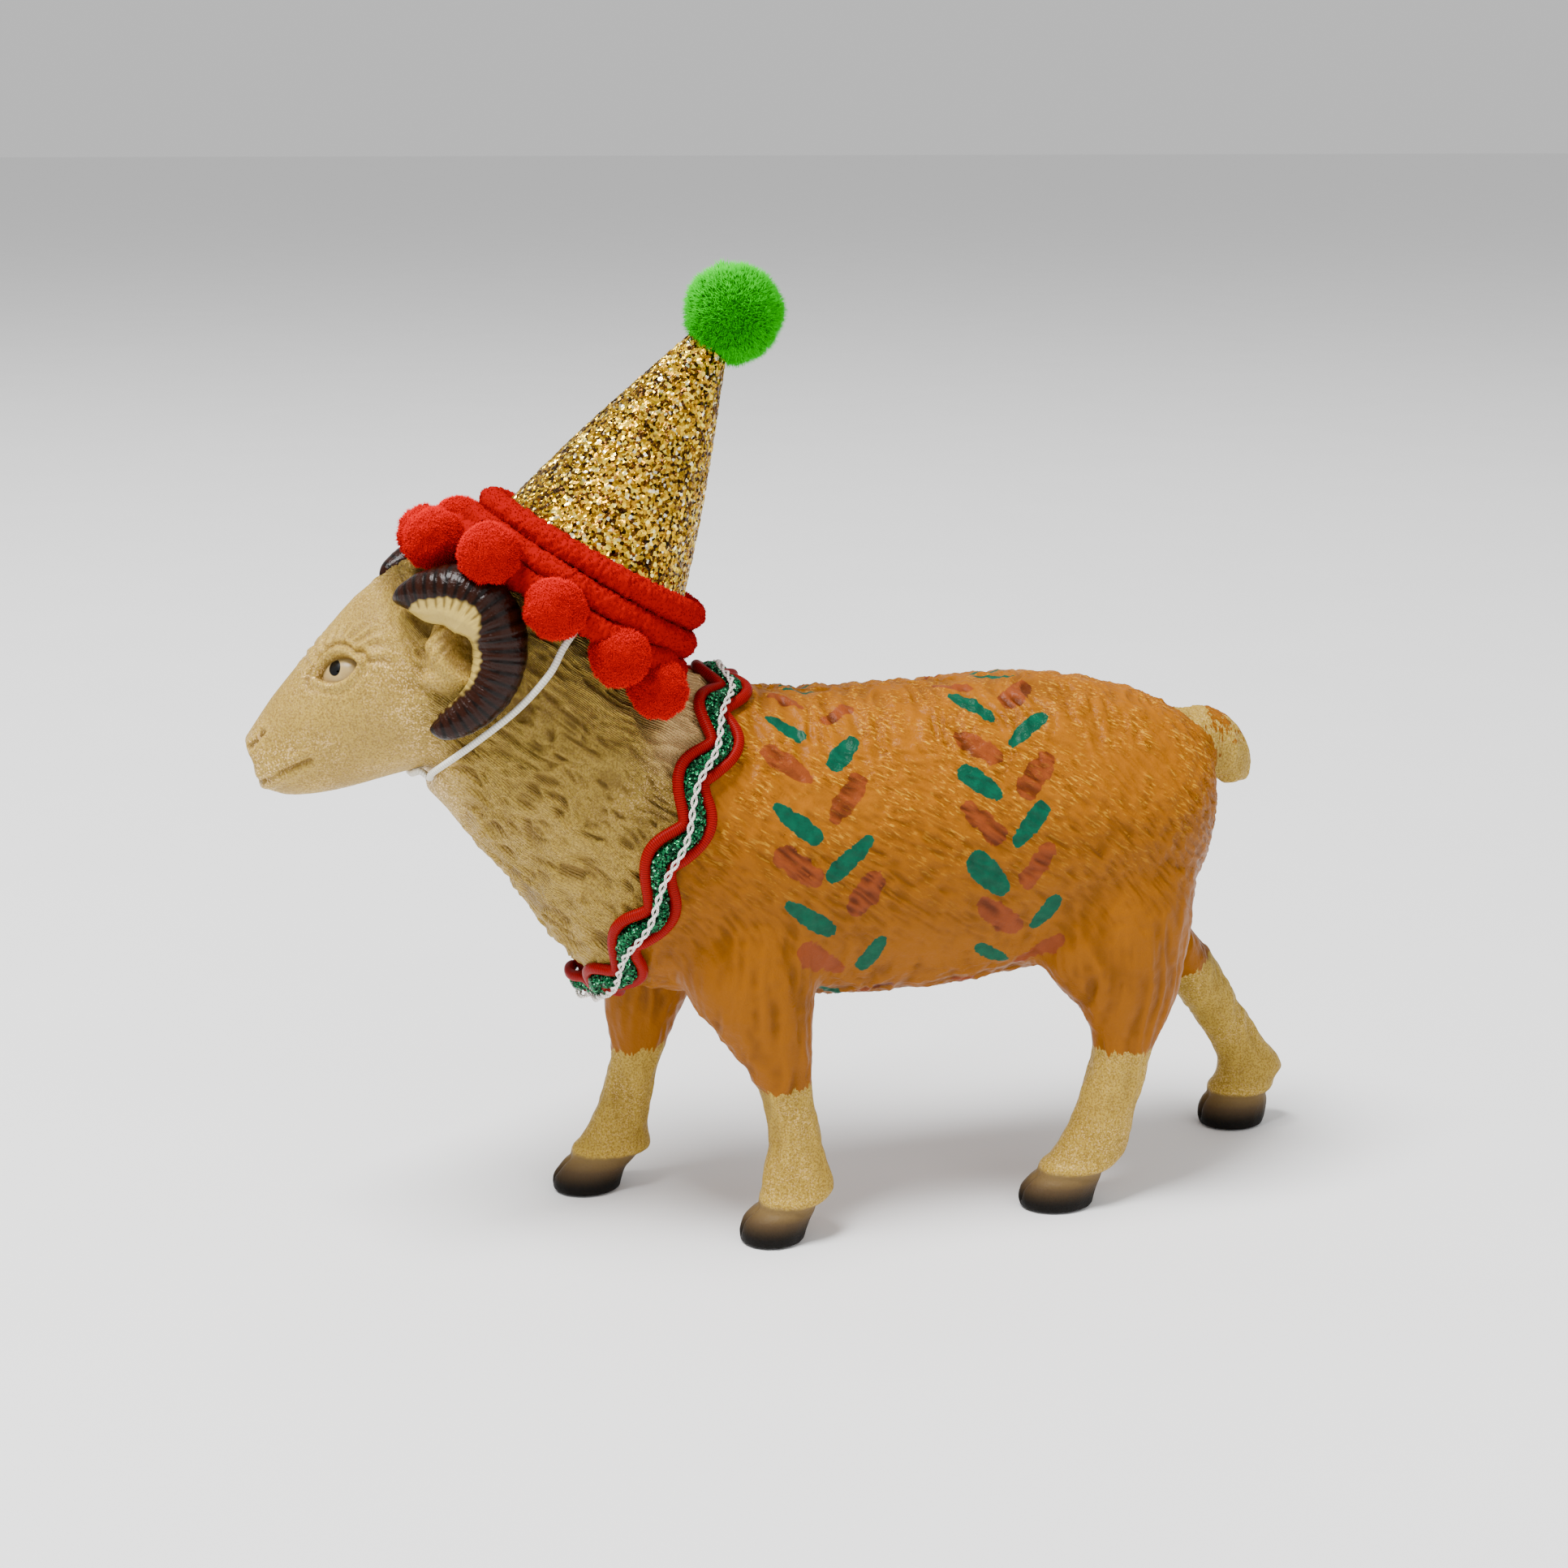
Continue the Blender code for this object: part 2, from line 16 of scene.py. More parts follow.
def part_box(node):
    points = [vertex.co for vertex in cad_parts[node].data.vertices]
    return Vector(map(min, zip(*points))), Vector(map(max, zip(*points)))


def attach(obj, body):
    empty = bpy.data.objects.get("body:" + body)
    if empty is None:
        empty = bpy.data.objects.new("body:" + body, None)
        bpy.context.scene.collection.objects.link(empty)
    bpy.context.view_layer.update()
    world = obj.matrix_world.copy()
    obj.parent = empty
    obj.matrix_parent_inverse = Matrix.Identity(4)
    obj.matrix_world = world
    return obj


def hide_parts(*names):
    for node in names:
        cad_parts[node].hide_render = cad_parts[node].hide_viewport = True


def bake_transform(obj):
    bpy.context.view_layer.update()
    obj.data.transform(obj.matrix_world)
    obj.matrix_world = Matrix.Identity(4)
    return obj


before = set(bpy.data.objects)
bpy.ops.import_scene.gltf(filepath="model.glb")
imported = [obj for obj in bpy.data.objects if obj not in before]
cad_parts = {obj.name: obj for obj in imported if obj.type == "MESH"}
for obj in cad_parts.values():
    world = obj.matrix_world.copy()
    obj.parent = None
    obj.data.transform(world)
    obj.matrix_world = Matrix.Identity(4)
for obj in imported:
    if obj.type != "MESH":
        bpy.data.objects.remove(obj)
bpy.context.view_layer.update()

MM = 0.001
SIDES = {1: "left", -1: "right"}
SHIFT_Y = -7.32  # from the drawing's origin to the frame's
BODY_GRAIN = 0.45  # size of the faces of the sculpted skins
HEAD_GRAIN = 0.38
INFLATE = 0.25  # closes the clearance between castings, so that they melt into one skin

# The neck joint that the collar hides, and the sections before and behind it: y, z, lean in degrees,
# half width, height above and depth below.
JOINT = (-25.8, 80.9, 23, 23.6, 31.2, 32.2)
JOINT_NECK = (-33.5, 86.2, 32, 22.6, 29.8, 27.6)
JOINT_TRUNK = (-7.0, 77.2, 13, 24.4, 31.2, 31.0)
COLLAR_WAVES = 11.5  # waves in the whole round
COLLAR_WAVE = 2.1  # how far they swing
COLLAR_LENGTH = 186
COLLAR_BOW = 2.0  # how far the sides lie in front of the chest and the spine
COLLAR_SPACING = 2.6
COLLAR_START = math.radians(-90)  # on the chest
CORD_R = 1.12
BRAID_R = 1.5
THREAD_R = 0.26
THREAD_PITCH = 5.0
OVERLAP = 0.034  # part of the way round by which one end passes the middle of the chest

HAT_BASE = Vector((0, -40.9 + SHIFT_Y, 128.7))
HAT_LEAN = math.radians(30)
HAT_RIM_R = 21.2
HAT_TIP_R = 3.4
HAT_HEIGHT = 53.5
HAT_BULGE = 0.9
CARD = 0.8
TRIM_R = 2.3
TRIM_PITCH = 4.1
TRIM_DROP = -0.6
BALL_R = 5.6
POMPOM_R = 9.6
POMPOM_AT = (0, 1.4, 59.9)  # in the hat's own frame
POMPOM_FIBRES = (16000, 1.9, 0.11)  # number, length and width
BALL_FIBRES = (6000, 0.8, 0.1)
CHENILLE_FIBRES = (9000, 0.75, 0.1)
ELASTIC_R = 0.65

# The chin strap's left half, from the knot inside the rim down to the throat.
STRAP = [
    (18.2, -40.8, 131.6),
    (19.6, -42.0, 128.4),
    (21.0, -44.2, 125.2),
    (22.2, -46.8, 122.0),
    (22.8, -49.6, 117.4),
    (21.8, -55.2, 111.2),
    (19.2, -62.4, 105.0),
    (13.8, -69.0, 99.0),
    (6.6, -72.2, 95.0),
    (0.0, -73.0, 94.0),
]

# The left horn, from the forehead over the ear and down behind it: x, y, z and radius.
HORN = [
    (12.4, -76.2, 130.6, 1.2),
    (14.0, -73.2, 131.7, 2.7),
    (15.6, -69.6, 132.6, 3.9),
    (17.4, -65.0, 132.6, 4.8),
    (19.2, -60.8, 130.3, 5.2),
    (20.4, -58.4, 125.9, 5.2),
    (21.0, -58.2, 120.3, 4.9),
    (21.3, -60.2, 114.9, 4.3),
    (21.4, -64.0, 110.9, 3.6),
    (21.2, -68.2, 108.6, 2.7),
    (21.0, -71.2, 107.9, 1.2),
]
HORN_RIB = 1.9
HORN_END = 2.2  # length over which each end is rounded off
HORN_AROUND = 72

# The eye: middle of the lids' opening on the left side, the way along it to its rear corner, the way
# out of the head, and the middle of the pupil.
EYE = Vector((9.3, -93.9, 117.3))
EYE_ALONG = Vector((3.8, 7.7, 3.1)).normalized()
EYE_OUT = Vector((0.76, -0.52, 0.39)).normalized()
PUPIL = Vector((8.8, -94.6, 118.0))
EYE_HALF_LENGTH = 4.4
EYE_TOP = 2.9  # how far the opening reaches above and below its middle line
EYE_BOTTOM = 2.1
EYE_SUNK = 0.35  # the eyeball's front is this far under the skin
MOUTH = [(0, -109.4, 95.4), (4.4, -107.8, 96.1), (7.4, -104.2, 98.6), (8.9, -99.5, 100.6)]
NOSTRIL = [(3.2, -110.2, 102.6), (4.4, -109.0, 103.9), (4.8, -107.6, 105.6)]
EAR_AT = (16.2, -71.4, 121.4)
EAR_HALF = (4.8, 7.2, 8.0)
LIP_AT = (17.0, -71.6, 116.2)
LIP_HALF = (3.2, 8.2, 3.0)
BOWL_AT = (-70.2, 123.6)  # y and z of the middle of the cup

# Where the ochre ends on each leg: side, lowest and highest y of the leg below the belly, height of the
# paint's edge, the y at which it has that height, and its slope.
LEGS = [
    (1, -45, 15, 32.2, -12, 0.15),
    (-1, -60, -12, 30.6, -38, 0.1),
    (1, 35, 80, 33.6, 55, 0.0),
    (-1, 55, 115, 36.2, 82, 0.6),
]
HOOF_HEIGHT = 8.0

# Painted leaves: y and turn round the trunk of both tips (0 is the flank, 90 the spine), width, and
# whether they are green.
LEAVES = [
    (-12, 78, -6, 68, 1.8, False),
    (-14, 62, -7, 50, 2.4, True),
    (-16, 47, -7, 32, 3.2, False),
    (-15, 24, -6, 9, 2.8, True),
    (-15, 7, -6, -6, 3.6, False),
    (-13, -13, -3, -26, 2.8, True),
    (-10, -30, 0, -46, 3.0, False),
    (-4, -58, 2, -71, 1.6, True),
    (-8, 86, -1, 83, 1.4, True),
    (-3, 58, 4, 68, 2.4, False),
    (-3, 36, 3, 50, 3.1, True),
    (-4, 16, 3, 33, 3.1, False),
    (-5, -5, 4, 10, 2.7, True),
    (0, -19, 5, -3, 4.0, False),
    (3, -45, 7, -28, 2.7, True),
    (5, -68, 12, -60, 2.0, False),
    (31, 88, 39, 82, 1.4, True),
    (22, 81, 29, 73, 2.0, False),
    (24, 71, 31, 53, 2.7, True),
    (22, 48, 31, 35, 3.1, False),
    (22, 33, 30, 21, 3.1, True),
    (22, 20, 30, 5, 3.1, False),
    (23, 1, 31, -14, 3.9, True),
    (25, -16, 35, -31, 3.6, False),
    (26, -36, 34, -49, 2.2, True),
    (24, -62, 29, -66, 2.4, False),
    (34, 60, 41, 77, 3.6, False),
    (33, 41, 42, 56, 2.6, True),
    (34, 21, 41, 37, 3.6, False),
    (32, 3, 39, 18, 2.8, True),
    (34, -12, 40, 3, 3.1, False),
    (37, -31, 42, -17, 2.7, True),
    (36, -54, 44, -35, 2.4, False),
]
LEAF_FULLNESS = 0.64  # half the painted width over the width given above
GIRTH_R = 28.5  # turns round the trunk times this are lengths on its skin
TRUNK_MIDDLE = 78  # height of the middle of the flank
HAIR_TILT = math.radians(-33)
TAIL_LINE = [(0, 74, 92.5), (0, 78.2, 94), (0, 83.3, 92.2), (0, 86.9, 87.2), (0, 87.9, 83.4)]
TAIL_R = 5.7
NECK_R = 24

# The set, in metres.
VIEW_AZIMUTH = math.radians(76)
VIEW_ELEVATION = math.radians(14.5)
VIEW_DISTANCE = 0.5
VIEW_TARGET = Vector((0, -0.0073, 0.0882))

# The fringe: turn round the hat from its front, reach from its axis, and height over its rim.
BALLS = [
    (13, 29.8, -3.2),
    (44, 30.0, 0.2),
    (74, 26.2, -2.8),
    (109, 24.4, -5.0),
    (134, 26.6, -7.6),
    (-14, 29.2, -4.2),
    (-45, 30.2, -0.8),
    (-74, 26.2, -2.8),
    (-118, 24.6, -6.0),
]


# Shapes and fields


def smooth(values, low, high):
    """0 up to low, 1 from high on, and a smooth step between."""
    part = np.clip((values - low) / (high - low), 0, 1)
    return part * part * (3 - 2 * part)


def bell(values, width):
    """1 where values are 0, falling off over width on both sides."""
    return np.exp(-((values / width) ** 2))


def lattice(cell, seed):
    """A fixed random number from -1 to 1 for each whole-numbered point."""
    mask = 0xFFFFFFFF
    mixed = (cell[:, 0] * 374761393 + cell[:, 1] * 668265263 + cell[:, 2] * 974711 + seed * 362437) & mask
    mixed = ((mixed ^ (mixed >> 13)) * 1274126177) & mask
    mixed = mixed ^ (mixed >> 16)
    return (mixed & 0xFFFFFF) / 0x7FFFFF - 1


def noise(points, size, seed=0):
    """Smooth noise from -1 to 1 with bumps about as wide as size, which may differ along each axis."""
    places = points / np.array(size)
    cell = np.floor(places).astype(np.int64)
    part = places - cell
    part = part * part * (3 - 2 * part)
    total = np.zeros(len(points))
    for corner in np.ndindex(2, 2, 2):
        weight = np.ones(len(points))
        for axis, high in enumerate(corner):
            weight *= part[:, axis] if high else 1 - part[:, axis]
        total += weight * lattice(cell + np.array(corner), seed)
    return total


def cells(points, size, seed=0):
    """For each point the gap between its two nearest of a field of scattered seeds, both in units of
    size, and a random number of the nearest one."""
    places = points / size
    cell = np.floor(places).astype(np.int64)
    nearest = np.full(len(points), 9.0)
    second = np.full(len(points), 9.0)
    chosen = np.zeros(len(points))
    for step in np.ndindex(3, 3, 3):
        other = cell + np.array(step) - 1
        jitter = np.stack([lattice(other, seed + axis) for axis in range(3)], axis=1) * 0.42 + 0.5
        away = np.linalg.norm(other + jitter - places, axis=1)
        closer = away < nearest
        second = np.where(closer, nearest, np.minimum(second, away))
        chosen = np.where(closer, lattice(other, seed + 5), chosen)
        nearest = np.where(closer, away, nearest)
    return second - nearest, chosen


def segment_distance(points, start, end):
    """Distance of each point from one straight stretch, in as many dimensions as they have."""
    start, end = np.array(start, float), np.array(end, float)
    along = end - start
    part = np.clip((points - start) @ along / (along @ along), 0, 1)
    return np.linalg.norm(points - start - part[:, None] * along, axis=1)


def line_distance(points, line):
    """Distance of each point from a bent line."""
    return np.min([segment_distance(points, a, b) for a, b in zip(line, line[1:])], axis=0)


def spline_value(values, at):
    """The Catmull-Rom curve through the tuples in values, at a place counted in stations."""
    last = len(values) - 1
    low = min(int(at), last - 1)
    part = at - low
    before, start, end, after = (values[min(max(low + step, 0), last)] for step in (-1, 0, 1, 2))
    weights = (
        -part + 2 * part**2 - part**3,
        2 - 5 * part**2 + 3 * part**3,
        part + 4 * part**2 - 3 * part**3,
        part**3 - part**2,
    )
    return tuple(sum(w * c for w, c in zip(weights, near)) / 2 for near in zip(before, start, end, after))


def spread(values, count):
    """count tuples, evenly spaced in stations, on the smooth curve through values."""
    last = len(values) - 1
    return [spline_value(values, last * index / (count - 1)) for index in range(count)]


def even_turns(count):
    """count angles, evenly spaced in one whole turn."""
    return np.arange(count) * 2 * math.pi / count


def quads(rows, around, cyclic=False):
    """Faces between rings of equally many points, and from the last ring to the first if cyclic."""
    low = np.arange(rows if cyclic else rows - 1)[:, None]
    here = np.arange(around)[None, :]
    above, after = (low + 1) % rows, (here + 1) % around
    corners = [low * around + here, low * around + after, above * around + after, above * around + here]
    return np.stack(corners, axis=2).reshape(-1, 4)


def ball_grid(around, rows):
    """Points and quads of a ball of radius 1 that is open at both poles."""
    tilts = math.pi * (np.arange(rows) + 0.5) / rows
    tilt, turn = (grid.ravel() for grid in np.meshgrid(tilts, even_turns(around), indexing="ij"))
    ball = np.stack([np.sin(tilt) * np.cos(turn), np.sin(tilt) * np.sin(turn), np.cos(tilt)], axis=1)
    return ball, quads(rows, around)[:, [0, 3, 2, 1]]


def on_side(side, points, faces):
    """A shape drawn for the left side (1), or its mirror image for the right side (-1)."""
    return (points, faces) if side > 0 else (points * [-1, 1, 1], faces[:, ::-1])


def mirrored(points):
    """The points with those of the right side brought to the left."""
    return np.abs(points) * [1, 0, 0] + points * [0, 1, 1]


def build_mesh(name, points, faces):
    """A smooth-shaded mesh from points in millimetres and faces of equally many corners."""
    mesh = bpy.data.meshes.new(name)
    faces = np.asarray(faces, np.int32)
    mesh.vertices.add(len(points))
    mesh.vertices.foreach_set("co", (np.asarray(points, float) * MM).ravel())
    mesh.loops.add(faces.size)
    mesh.loops.foreach_set("vertex_index", faces.ravel())
    mesh.polygons.add(len(faces))
    mesh.polygons.foreach_set("loop_start", np.arange(0, faces.size, faces.shape[1]))
    mesh.update(calc_edges=True)
    mesh.shade_smooth()
    return mesh


def fetch(items, name, width, kind=float):
    """One property of all of a mesh's items, as rows of width numbers."""
    values = np.empty(len(items) * width, kind)
    items.foreach_get(name, values)
    return values.reshape(-1, width)


def mesh_points(mesh):
    """The mesh's vertices in millimetres."""
    return fetch(mesh.vertices, "co", 3) / MM


def mesh_normals(mesh):
    """The mesh's vertex normals."""
    return fetch(mesh.vertex_normals, "vector", 3, np.float32).astype(float)


def mesh_edges(mesh):
    """The two vertices of each edge."""
    return fetch(mesh.edges, "vertices", 2, np.int32)


def mesh_quads(mesh):
    """The four vertices of each face of a mesh of quads."""
    return fetch(mesh.loops, "vertex_index", 1, np.int32).reshape(-1, 4)


def move_points(mesh, points):
    """Put the mesh's vertices at new places."""
    mesh.vertices.foreach_set("co", (points * MM).ravel())
    mesh.update()


def keep(mesh, **values):
    """Store numbers on the vertices for the material to read."""
    for name, numbers in values.items():
        layer = mesh.attributes.new(name, "FLOAT", "POINT")
        layer.data.foreach_set("value", np.asarray(numbers, np.float32))


def add(name, data):
    """A new object in the scene."""
    added = bpy.data.objects.new(name, data)
    bpy.context.scene.collection.objects.link(added)
    return added


def relax(points, edges, rounds, weight):
    """Draw each point towards the middle of its neighbours."""
    count = np.bincount(edges.ravel(), minlength=len(points))[:, None]
    first, second = edges.T
    for _ in range(rounds):
        total = np.stack(
            [
                np.bincount(first, points[second, axis], len(points))
                + np.bincount(second, points[first, axis], len(points))
                for axis in range(3)
            ],
            axis=1,
        )
        points = points + weight[:, None] * (total / count - points)
    return points


def place(mesh, material, body, nodes=()):
    """Add a piece, named as its mesh, that rides on a body and stands for CAD nodes."""
    piece = add(mesh.name, mesh)
    mesh.materials.append(material)
    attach(piece, body)
    if nodes:
        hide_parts(*nodes)
    return piece


def carried(path):
    """Each point of a path, the way gone to it, and two unit vectors across the path that don't spin."""
    gone, side = 0.0, None
    for index, point in enumerate(path):
        along = (path[min(index + 1, len(path) - 1)] - path[max(index - 1, 0)]).normalized()
        side = (along.orthogonal() if side is None else side - along * side.dot(along)).normalized()
        if index:
            gone += (point - path[index - 1]).length
        yield point, gone, side, along.cross(side)


def sweep(path, radii, around, ripple=None):
    """Points and quads of a tube along a path, closed at both ends by a last ring drawn to a point.

    ripple(index, angles) may return a factor on the radius at each angle of ring index. Also returns
    the distance along the path and the angle of each point.
    """
    angles = even_turns(around)
    rings, alongs = [], []
    for index, (point, gone, side, other) in enumerate(carried([Vector(point) for point in path])):
        reach = radii[index] * (np.ones(around) if ripple is None else ripple(index, angles))
        across = np.outer(reach * np.cos(angles), side)
        rings.append(np.array(point) + across + np.outer(reach * np.sin(angles), other))
        alongs.append(np.full(around, gone))
    faces = quads(len(rings), around)
    return np.concatenate(rings), faces, np.concatenate(alongs), np.tile(angles, len(rings))


def closed_tube(path, radius, around):
    """sweep with both ends rounded off."""
    path = [Vector(point) for point in path]
    start = (path[0] - path[1]).normalized() * radius
    end = (path[-1] - path[-2]).normalized() * radius
    steps = (0.9998, 0.8, 0.45)
    caps = [radius * math.sqrt(1 - step * step) for step in steps]
    radii = caps + [radius] * len(path) + caps[::-1]
    first = [path[0] + start * step for step in steps]
    last = [path[-1] + end * step for step in steps[::-1]]
    return sweep(first + path + last, radii, around)


# Materials


class Look:
    """A Principled material whose inputs are driven by a few node helpers."""

    def __init__(self, name, roughness=0.5, **values):
        self.material = bpy.data.materials.new(name)
        self.material.use_nodes = True
        self.tree = self.material.node_tree
        self.shader = self.tree.nodes["Principled BSDF"]
        self.shader.inputs["Roughness"].default_value = roughness
        for socket, value in values.items():
            self.shader.inputs[socket.replace("_", " ")].default_value = value
        self.coordinates = self.tree.nodes.new("ShaderNodeTexCoord").outputs["Object"]

    def feed(self, socket, value):
        """Link a socket to a value, or set it."""
        if isinstance(value, bpy.types.NodeSocket):
            self.tree.links.new(value, socket)
        elif isinstance(value, tuple) and len(value) == 3 and socket.type == "RGBA":
            socket.default_value = (*value, 1)
        else:
            socket.default_value = value

    def drive(self, name, value):
        """Feed an input of the shader."""
        self.feed(self.shader.inputs[name], value)

    def read(self, name):
        """A number stored on the mesh."""
        node = self.tree.nodes.new("ShaderNodeAttribute")
        node.attribute_name = name
        return node.outputs["Fac"]

    def math(self, operation, first, second=0.0):
        """A Math node."""
        node = self.tree.nodes.new("ShaderNodeMath")
        node.operation = operation
        self.feed(node.inputs[0], first)
        self.feed(node.inputs[1], second)
        return node.outputs[0]

    def times(self, first, second):
        """A product."""
        return self.math("MULTIPLY", first, second)

    def plus(self, first, second):
        """A sum."""
        return self.math("ADD", first, second)

    def minus(self, first, second):
        """A difference."""
        return self.math("SUBTRACT", first, second)

    def step(self, value, low, high, start=0.0, end=1.0):
        """A smooth step from start at low to end at high."""
        node = self.tree.nodes.new("ShaderNodeMapRange")
        node.interpolation_type = "SMOOTHSTEP"
        for socket, number in zip(node.inputs, (value, low, high, start, end)):
            self.feed(socket, number)
        return node.outputs[0]

    def mix(self, factor, first, second):
        """A blend of two colours."""
        node = self.tree.nodes.new("ShaderNodeMix")
        node.data_type = "RGBA"
        self.feed(node.inputs["Factor"], factor)
        colours = [socket for socket in node.inputs if socket.type == "RGBA"]
        self.feed(colours[0], first)
        self.feed(colours[1], second)
        return next(socket for socket in node.outputs if socket.type == "RGBA")

    def tint(self, base, value, share, tone):
        """A colour with a tone laid over it by value times share."""
        return self.mix(self.times(value, share), base, tone)

    def stretched(self, sizes, tilt=(0, 0, 0)):
        """Coordinates turned by tilt and divided by sizes in millimetres along each axis."""
        node = self.tree.nodes.new("ShaderNodeMapping")
        node.vector_type = "TEXTURE"
        self.feed(node.inputs["Vector"], self.coordinates)
        node.inputs["Rotation"].default_value = tilt
        node.inputs["Scale"].default_value = [size * MM for size in sizes]
        return node.outputs[0]

    def noise(self, size, detail=2.0, vector=None):
        """Noise from 0 to 1 with bumps about size millimetres wide."""
        node = self.tree.nodes.new("ShaderNodeTexNoise")
        self.feed(node.inputs["Vector"], vector or self.coordinates)
        node.inputs["Scale"].default_value = 1.0 if vector else 1 / (size * MM)
        node.inputs["Detail"].default_value = detail
        return node.outputs[0]

    def jitter(self, size, detail, amount, vector=None, middle=0.5):
        """Noise around 0 that is about amount wide."""
        return self.times(self.minus(self.noise(size, detail, vector), middle), amount)

    def flakes(self, size):
        """A Voronoi node with cells about size millimetres wide."""
        node = self.tree.nodes.new("ShaderNodeTexVoronoi")
        self.feed(node.inputs["Vector"], self.coordinates)
        node.inputs["Scale"].default_value = 1 / (size * MM)
        return node

    def ramp(self, value, *stops):
        """A colour ramp through (place, colour) stops."""
        node = self.tree.nodes.new("ShaderNodeValToRGB")
        self.feed(node.inputs[0], value)
        elements = node.color_ramp.elements
        while len(elements) < len(stops):
            elements.new(0.5)
        for element, (at, colour) in zip(elements, stops):
            element.position = at
            element.color = (*colour, 1)
        return node.outputs[0]

    def twist(self, pitch):
        """A wave from -1 to 1 that winds round a swept tube once in every pitch millimetres."""
        phase = self.times(self.read("along"), 2 * math.pi / pitch)
        first = self.times(self.math("SINE", phase), self.read("cosine"))
        return self.plus(first, self.times(self.math("COSINE", phase), self.read("sine")))

    def first_number(self, colour):
        """The red part of a colour, as a random number of a cell."""
        node = self.tree.nodes.new("ShaderNodeSeparateColor")
        self.feed(node.inputs[0], colour)
        return node.outputs[0]

    def bump(self, height, depth, strength=1.0, under=None):
        """Raise the surface by height times depth millimetres."""
        node = self.tree.nodes.new("ShaderNodeBump")
        self.feed(node.inputs["Height"], height)
        node.inputs["Strength"].default_value = strength
        node.inputs["Distance"].default_value = depth * MM
        if under:
            self.feed(node.inputs["Normal"], under)
        return node.outputs[0]

    def vector_math(self, operation, first, second=(0, 0, 0)):
        """A Vector Math node."""
        node = self.tree.nodes.new("ShaderNodeVectorMath")
        node.operation = operation
        self.feed(node.inputs[0], first)
        self.feed(node.inputs["Scale" if operation == "SCALE" else 1], second)
        return node.outputs[0]

    def tilt_cells(self, colour, amount):
        """A normal tilted at random in each cell, by the cell's colour."""
        normal = self.tree.nodes.new("ShaderNodeNewGeometry").outputs["Normal"]
        centred = self.vector_math("SUBTRACT", colour, (0.5, 0.5, 0.5))
        tilted = self.vector_math("ADD", normal, self.vector_math("SCALE", centred, amount))
        return self.vector_math("NORMALIZE", tilted)


def colour(*values):
    """A colour given as screen values from 0 to 255, as the shader's light values."""
    return tuple(c / 255 / 12.92 if c < 10 else ((c / 255 + 0.055) / 1.055) ** 2.4 for c in values)


def cream_look(look):
    """Cream vinyl with painted shade in its hollows, a stipple and a dusting of gold."""
    # Painted shade: the cream is darker where the relief is low, in the hollows.
    base = look.mix(look.step(look.read("relief"), -0.75, 0.3), colour(108, 82, 22), colour(174, 144, 58))
    base = look.tint(base, look.noise(7, 3), 0.35, colour(166, 134, 54))
    base = look.mix(look.step(look.noise(0.4, 2), 0.56, 0.4, 0, 0.55), base, colour(108, 76, 20))
    chance = look.first_number(look.flakes(0.27).outputs["Color"])
    gold = look.times(look.step(chance, 0.74, 0.82), look.read("dust"))
    gold = look.times(gold, look.step(look.noise(14, 2), 0.35, 0.65, 0.15, 1))
    return look.tint(base, gold, 0.7, colour(255, 214, 150)), gold


def skin_look():
    """The ram's skin: ochre paint with green and terracotta leaves over cream vinyl, and dark hooves."""
    look = Look("painted_vinyl", roughness=0.5, Specular_IOR_Level=0.1)
    cream, gold = cream_look(look)
    relief = look.step(look.read("relief"), -0.32, 0.28)
    stroke = look.read("stroke")
    hairs = look.noise(1, 2, look.stretched((0.5, 2.3, 0.42), (HAIR_TILT, 0, 0)))
    furry = look.times(stroke, look.step(look.noise(6, 2), 0.34, 0.6))
    hair_highlight = look.times(look.step(hairs, 0.55, 0.68), furry)
    hair_shade = look.times(look.step(hairs, 0.46, 0.34), furry)
    # Painted shade and light: the ochre is darker in the hollows of the moulded fur and lighter on its
    # ridges.
    ochre = look.mix(relief, colour(104, 58, 0), colour(138, 80, 0))
    ochre = look.tint(ochre, look.noise(11, 3), 0.5, colour(120, 68, 0))
    # Painted light: the upper flank, where the hairs stand out, is lighter.
    ochre = look.tint(ochre, look.step(stroke, 0.3, 1.0), 0.35, colour(170, 100, 0))
    # Painted shade at the roots of the standing hairs and painted highlights on their tips.
    ochre = look.tint(ochre, hair_shade, 0.5, colour(88, 46, 0))
    ochre = look.tint(ochre, hair_highlight, 0.75, colour(210, 152, 30))

    terracotta = look.minus(look.jitter(2.2, 4, 2.8, middle=0.46), look.read("terracotta"))
    # Painted shade and light: the terracotta is darker in the hollows of the moulded fur and lighter on its
    # ridges.
    brick = look.mix(relief, colour(74, 24, 6), colour(122, 52, 22))
    ochre = look.tint(ochre, look.step(terracotta, -0.1, 0.25), 0.86, brick)
    green = look.minus(look.jitter(1.3, 3, 1.35), look.read("green"))
    leaf = look.mix(look.noise(2.2, 3), colour(0, 44, 30), colour(0, 90, 64))
    ochre = look.mix(look.step(green, -0.06, 0.06), ochre, leaf)

    edge = look.jitter(1.6, 3, 2.6)
    drips = look.jitter(1, 2, 4, look.stretched((0.7, 0.7, 3.5)))
    painted = look.step(look.plus(look.read("ochre"), look.plus(edge, drips)), -0.15, 0.15)
    hoof = look.read("hoof")
    stops = (0.0, colour(112, 90, 54)), (0.45, colour(74, 58, 38)), (1.0, colour(14, 11, 8))
    on_hoof = look.step(look.plus(hoof, look.times(edge, 0.3)), -0.5, 0.5)
    body = look.mix(on_hoof, look.mix(painted, cream, ochre), look.ramp(look.step(hoof, 0.0, 6.5), *stops))
    look.drive("Base Color", body)
    look.drive("Metallic", look.times(look.times(gold, look.minus(1, painted)), 0.5))
    look.drive("Roughness", look.step(painted, 0, 1, 0.52, 0.4))
    stipple = look.bump(look.noise(0.5, 2), 0.12, 0.8)
    combed = look.times(hairs, look.times(furry, painted))
    look.drive("Normal", look.bump(combed, 0.5, 0.8, stipple))
    return look.material


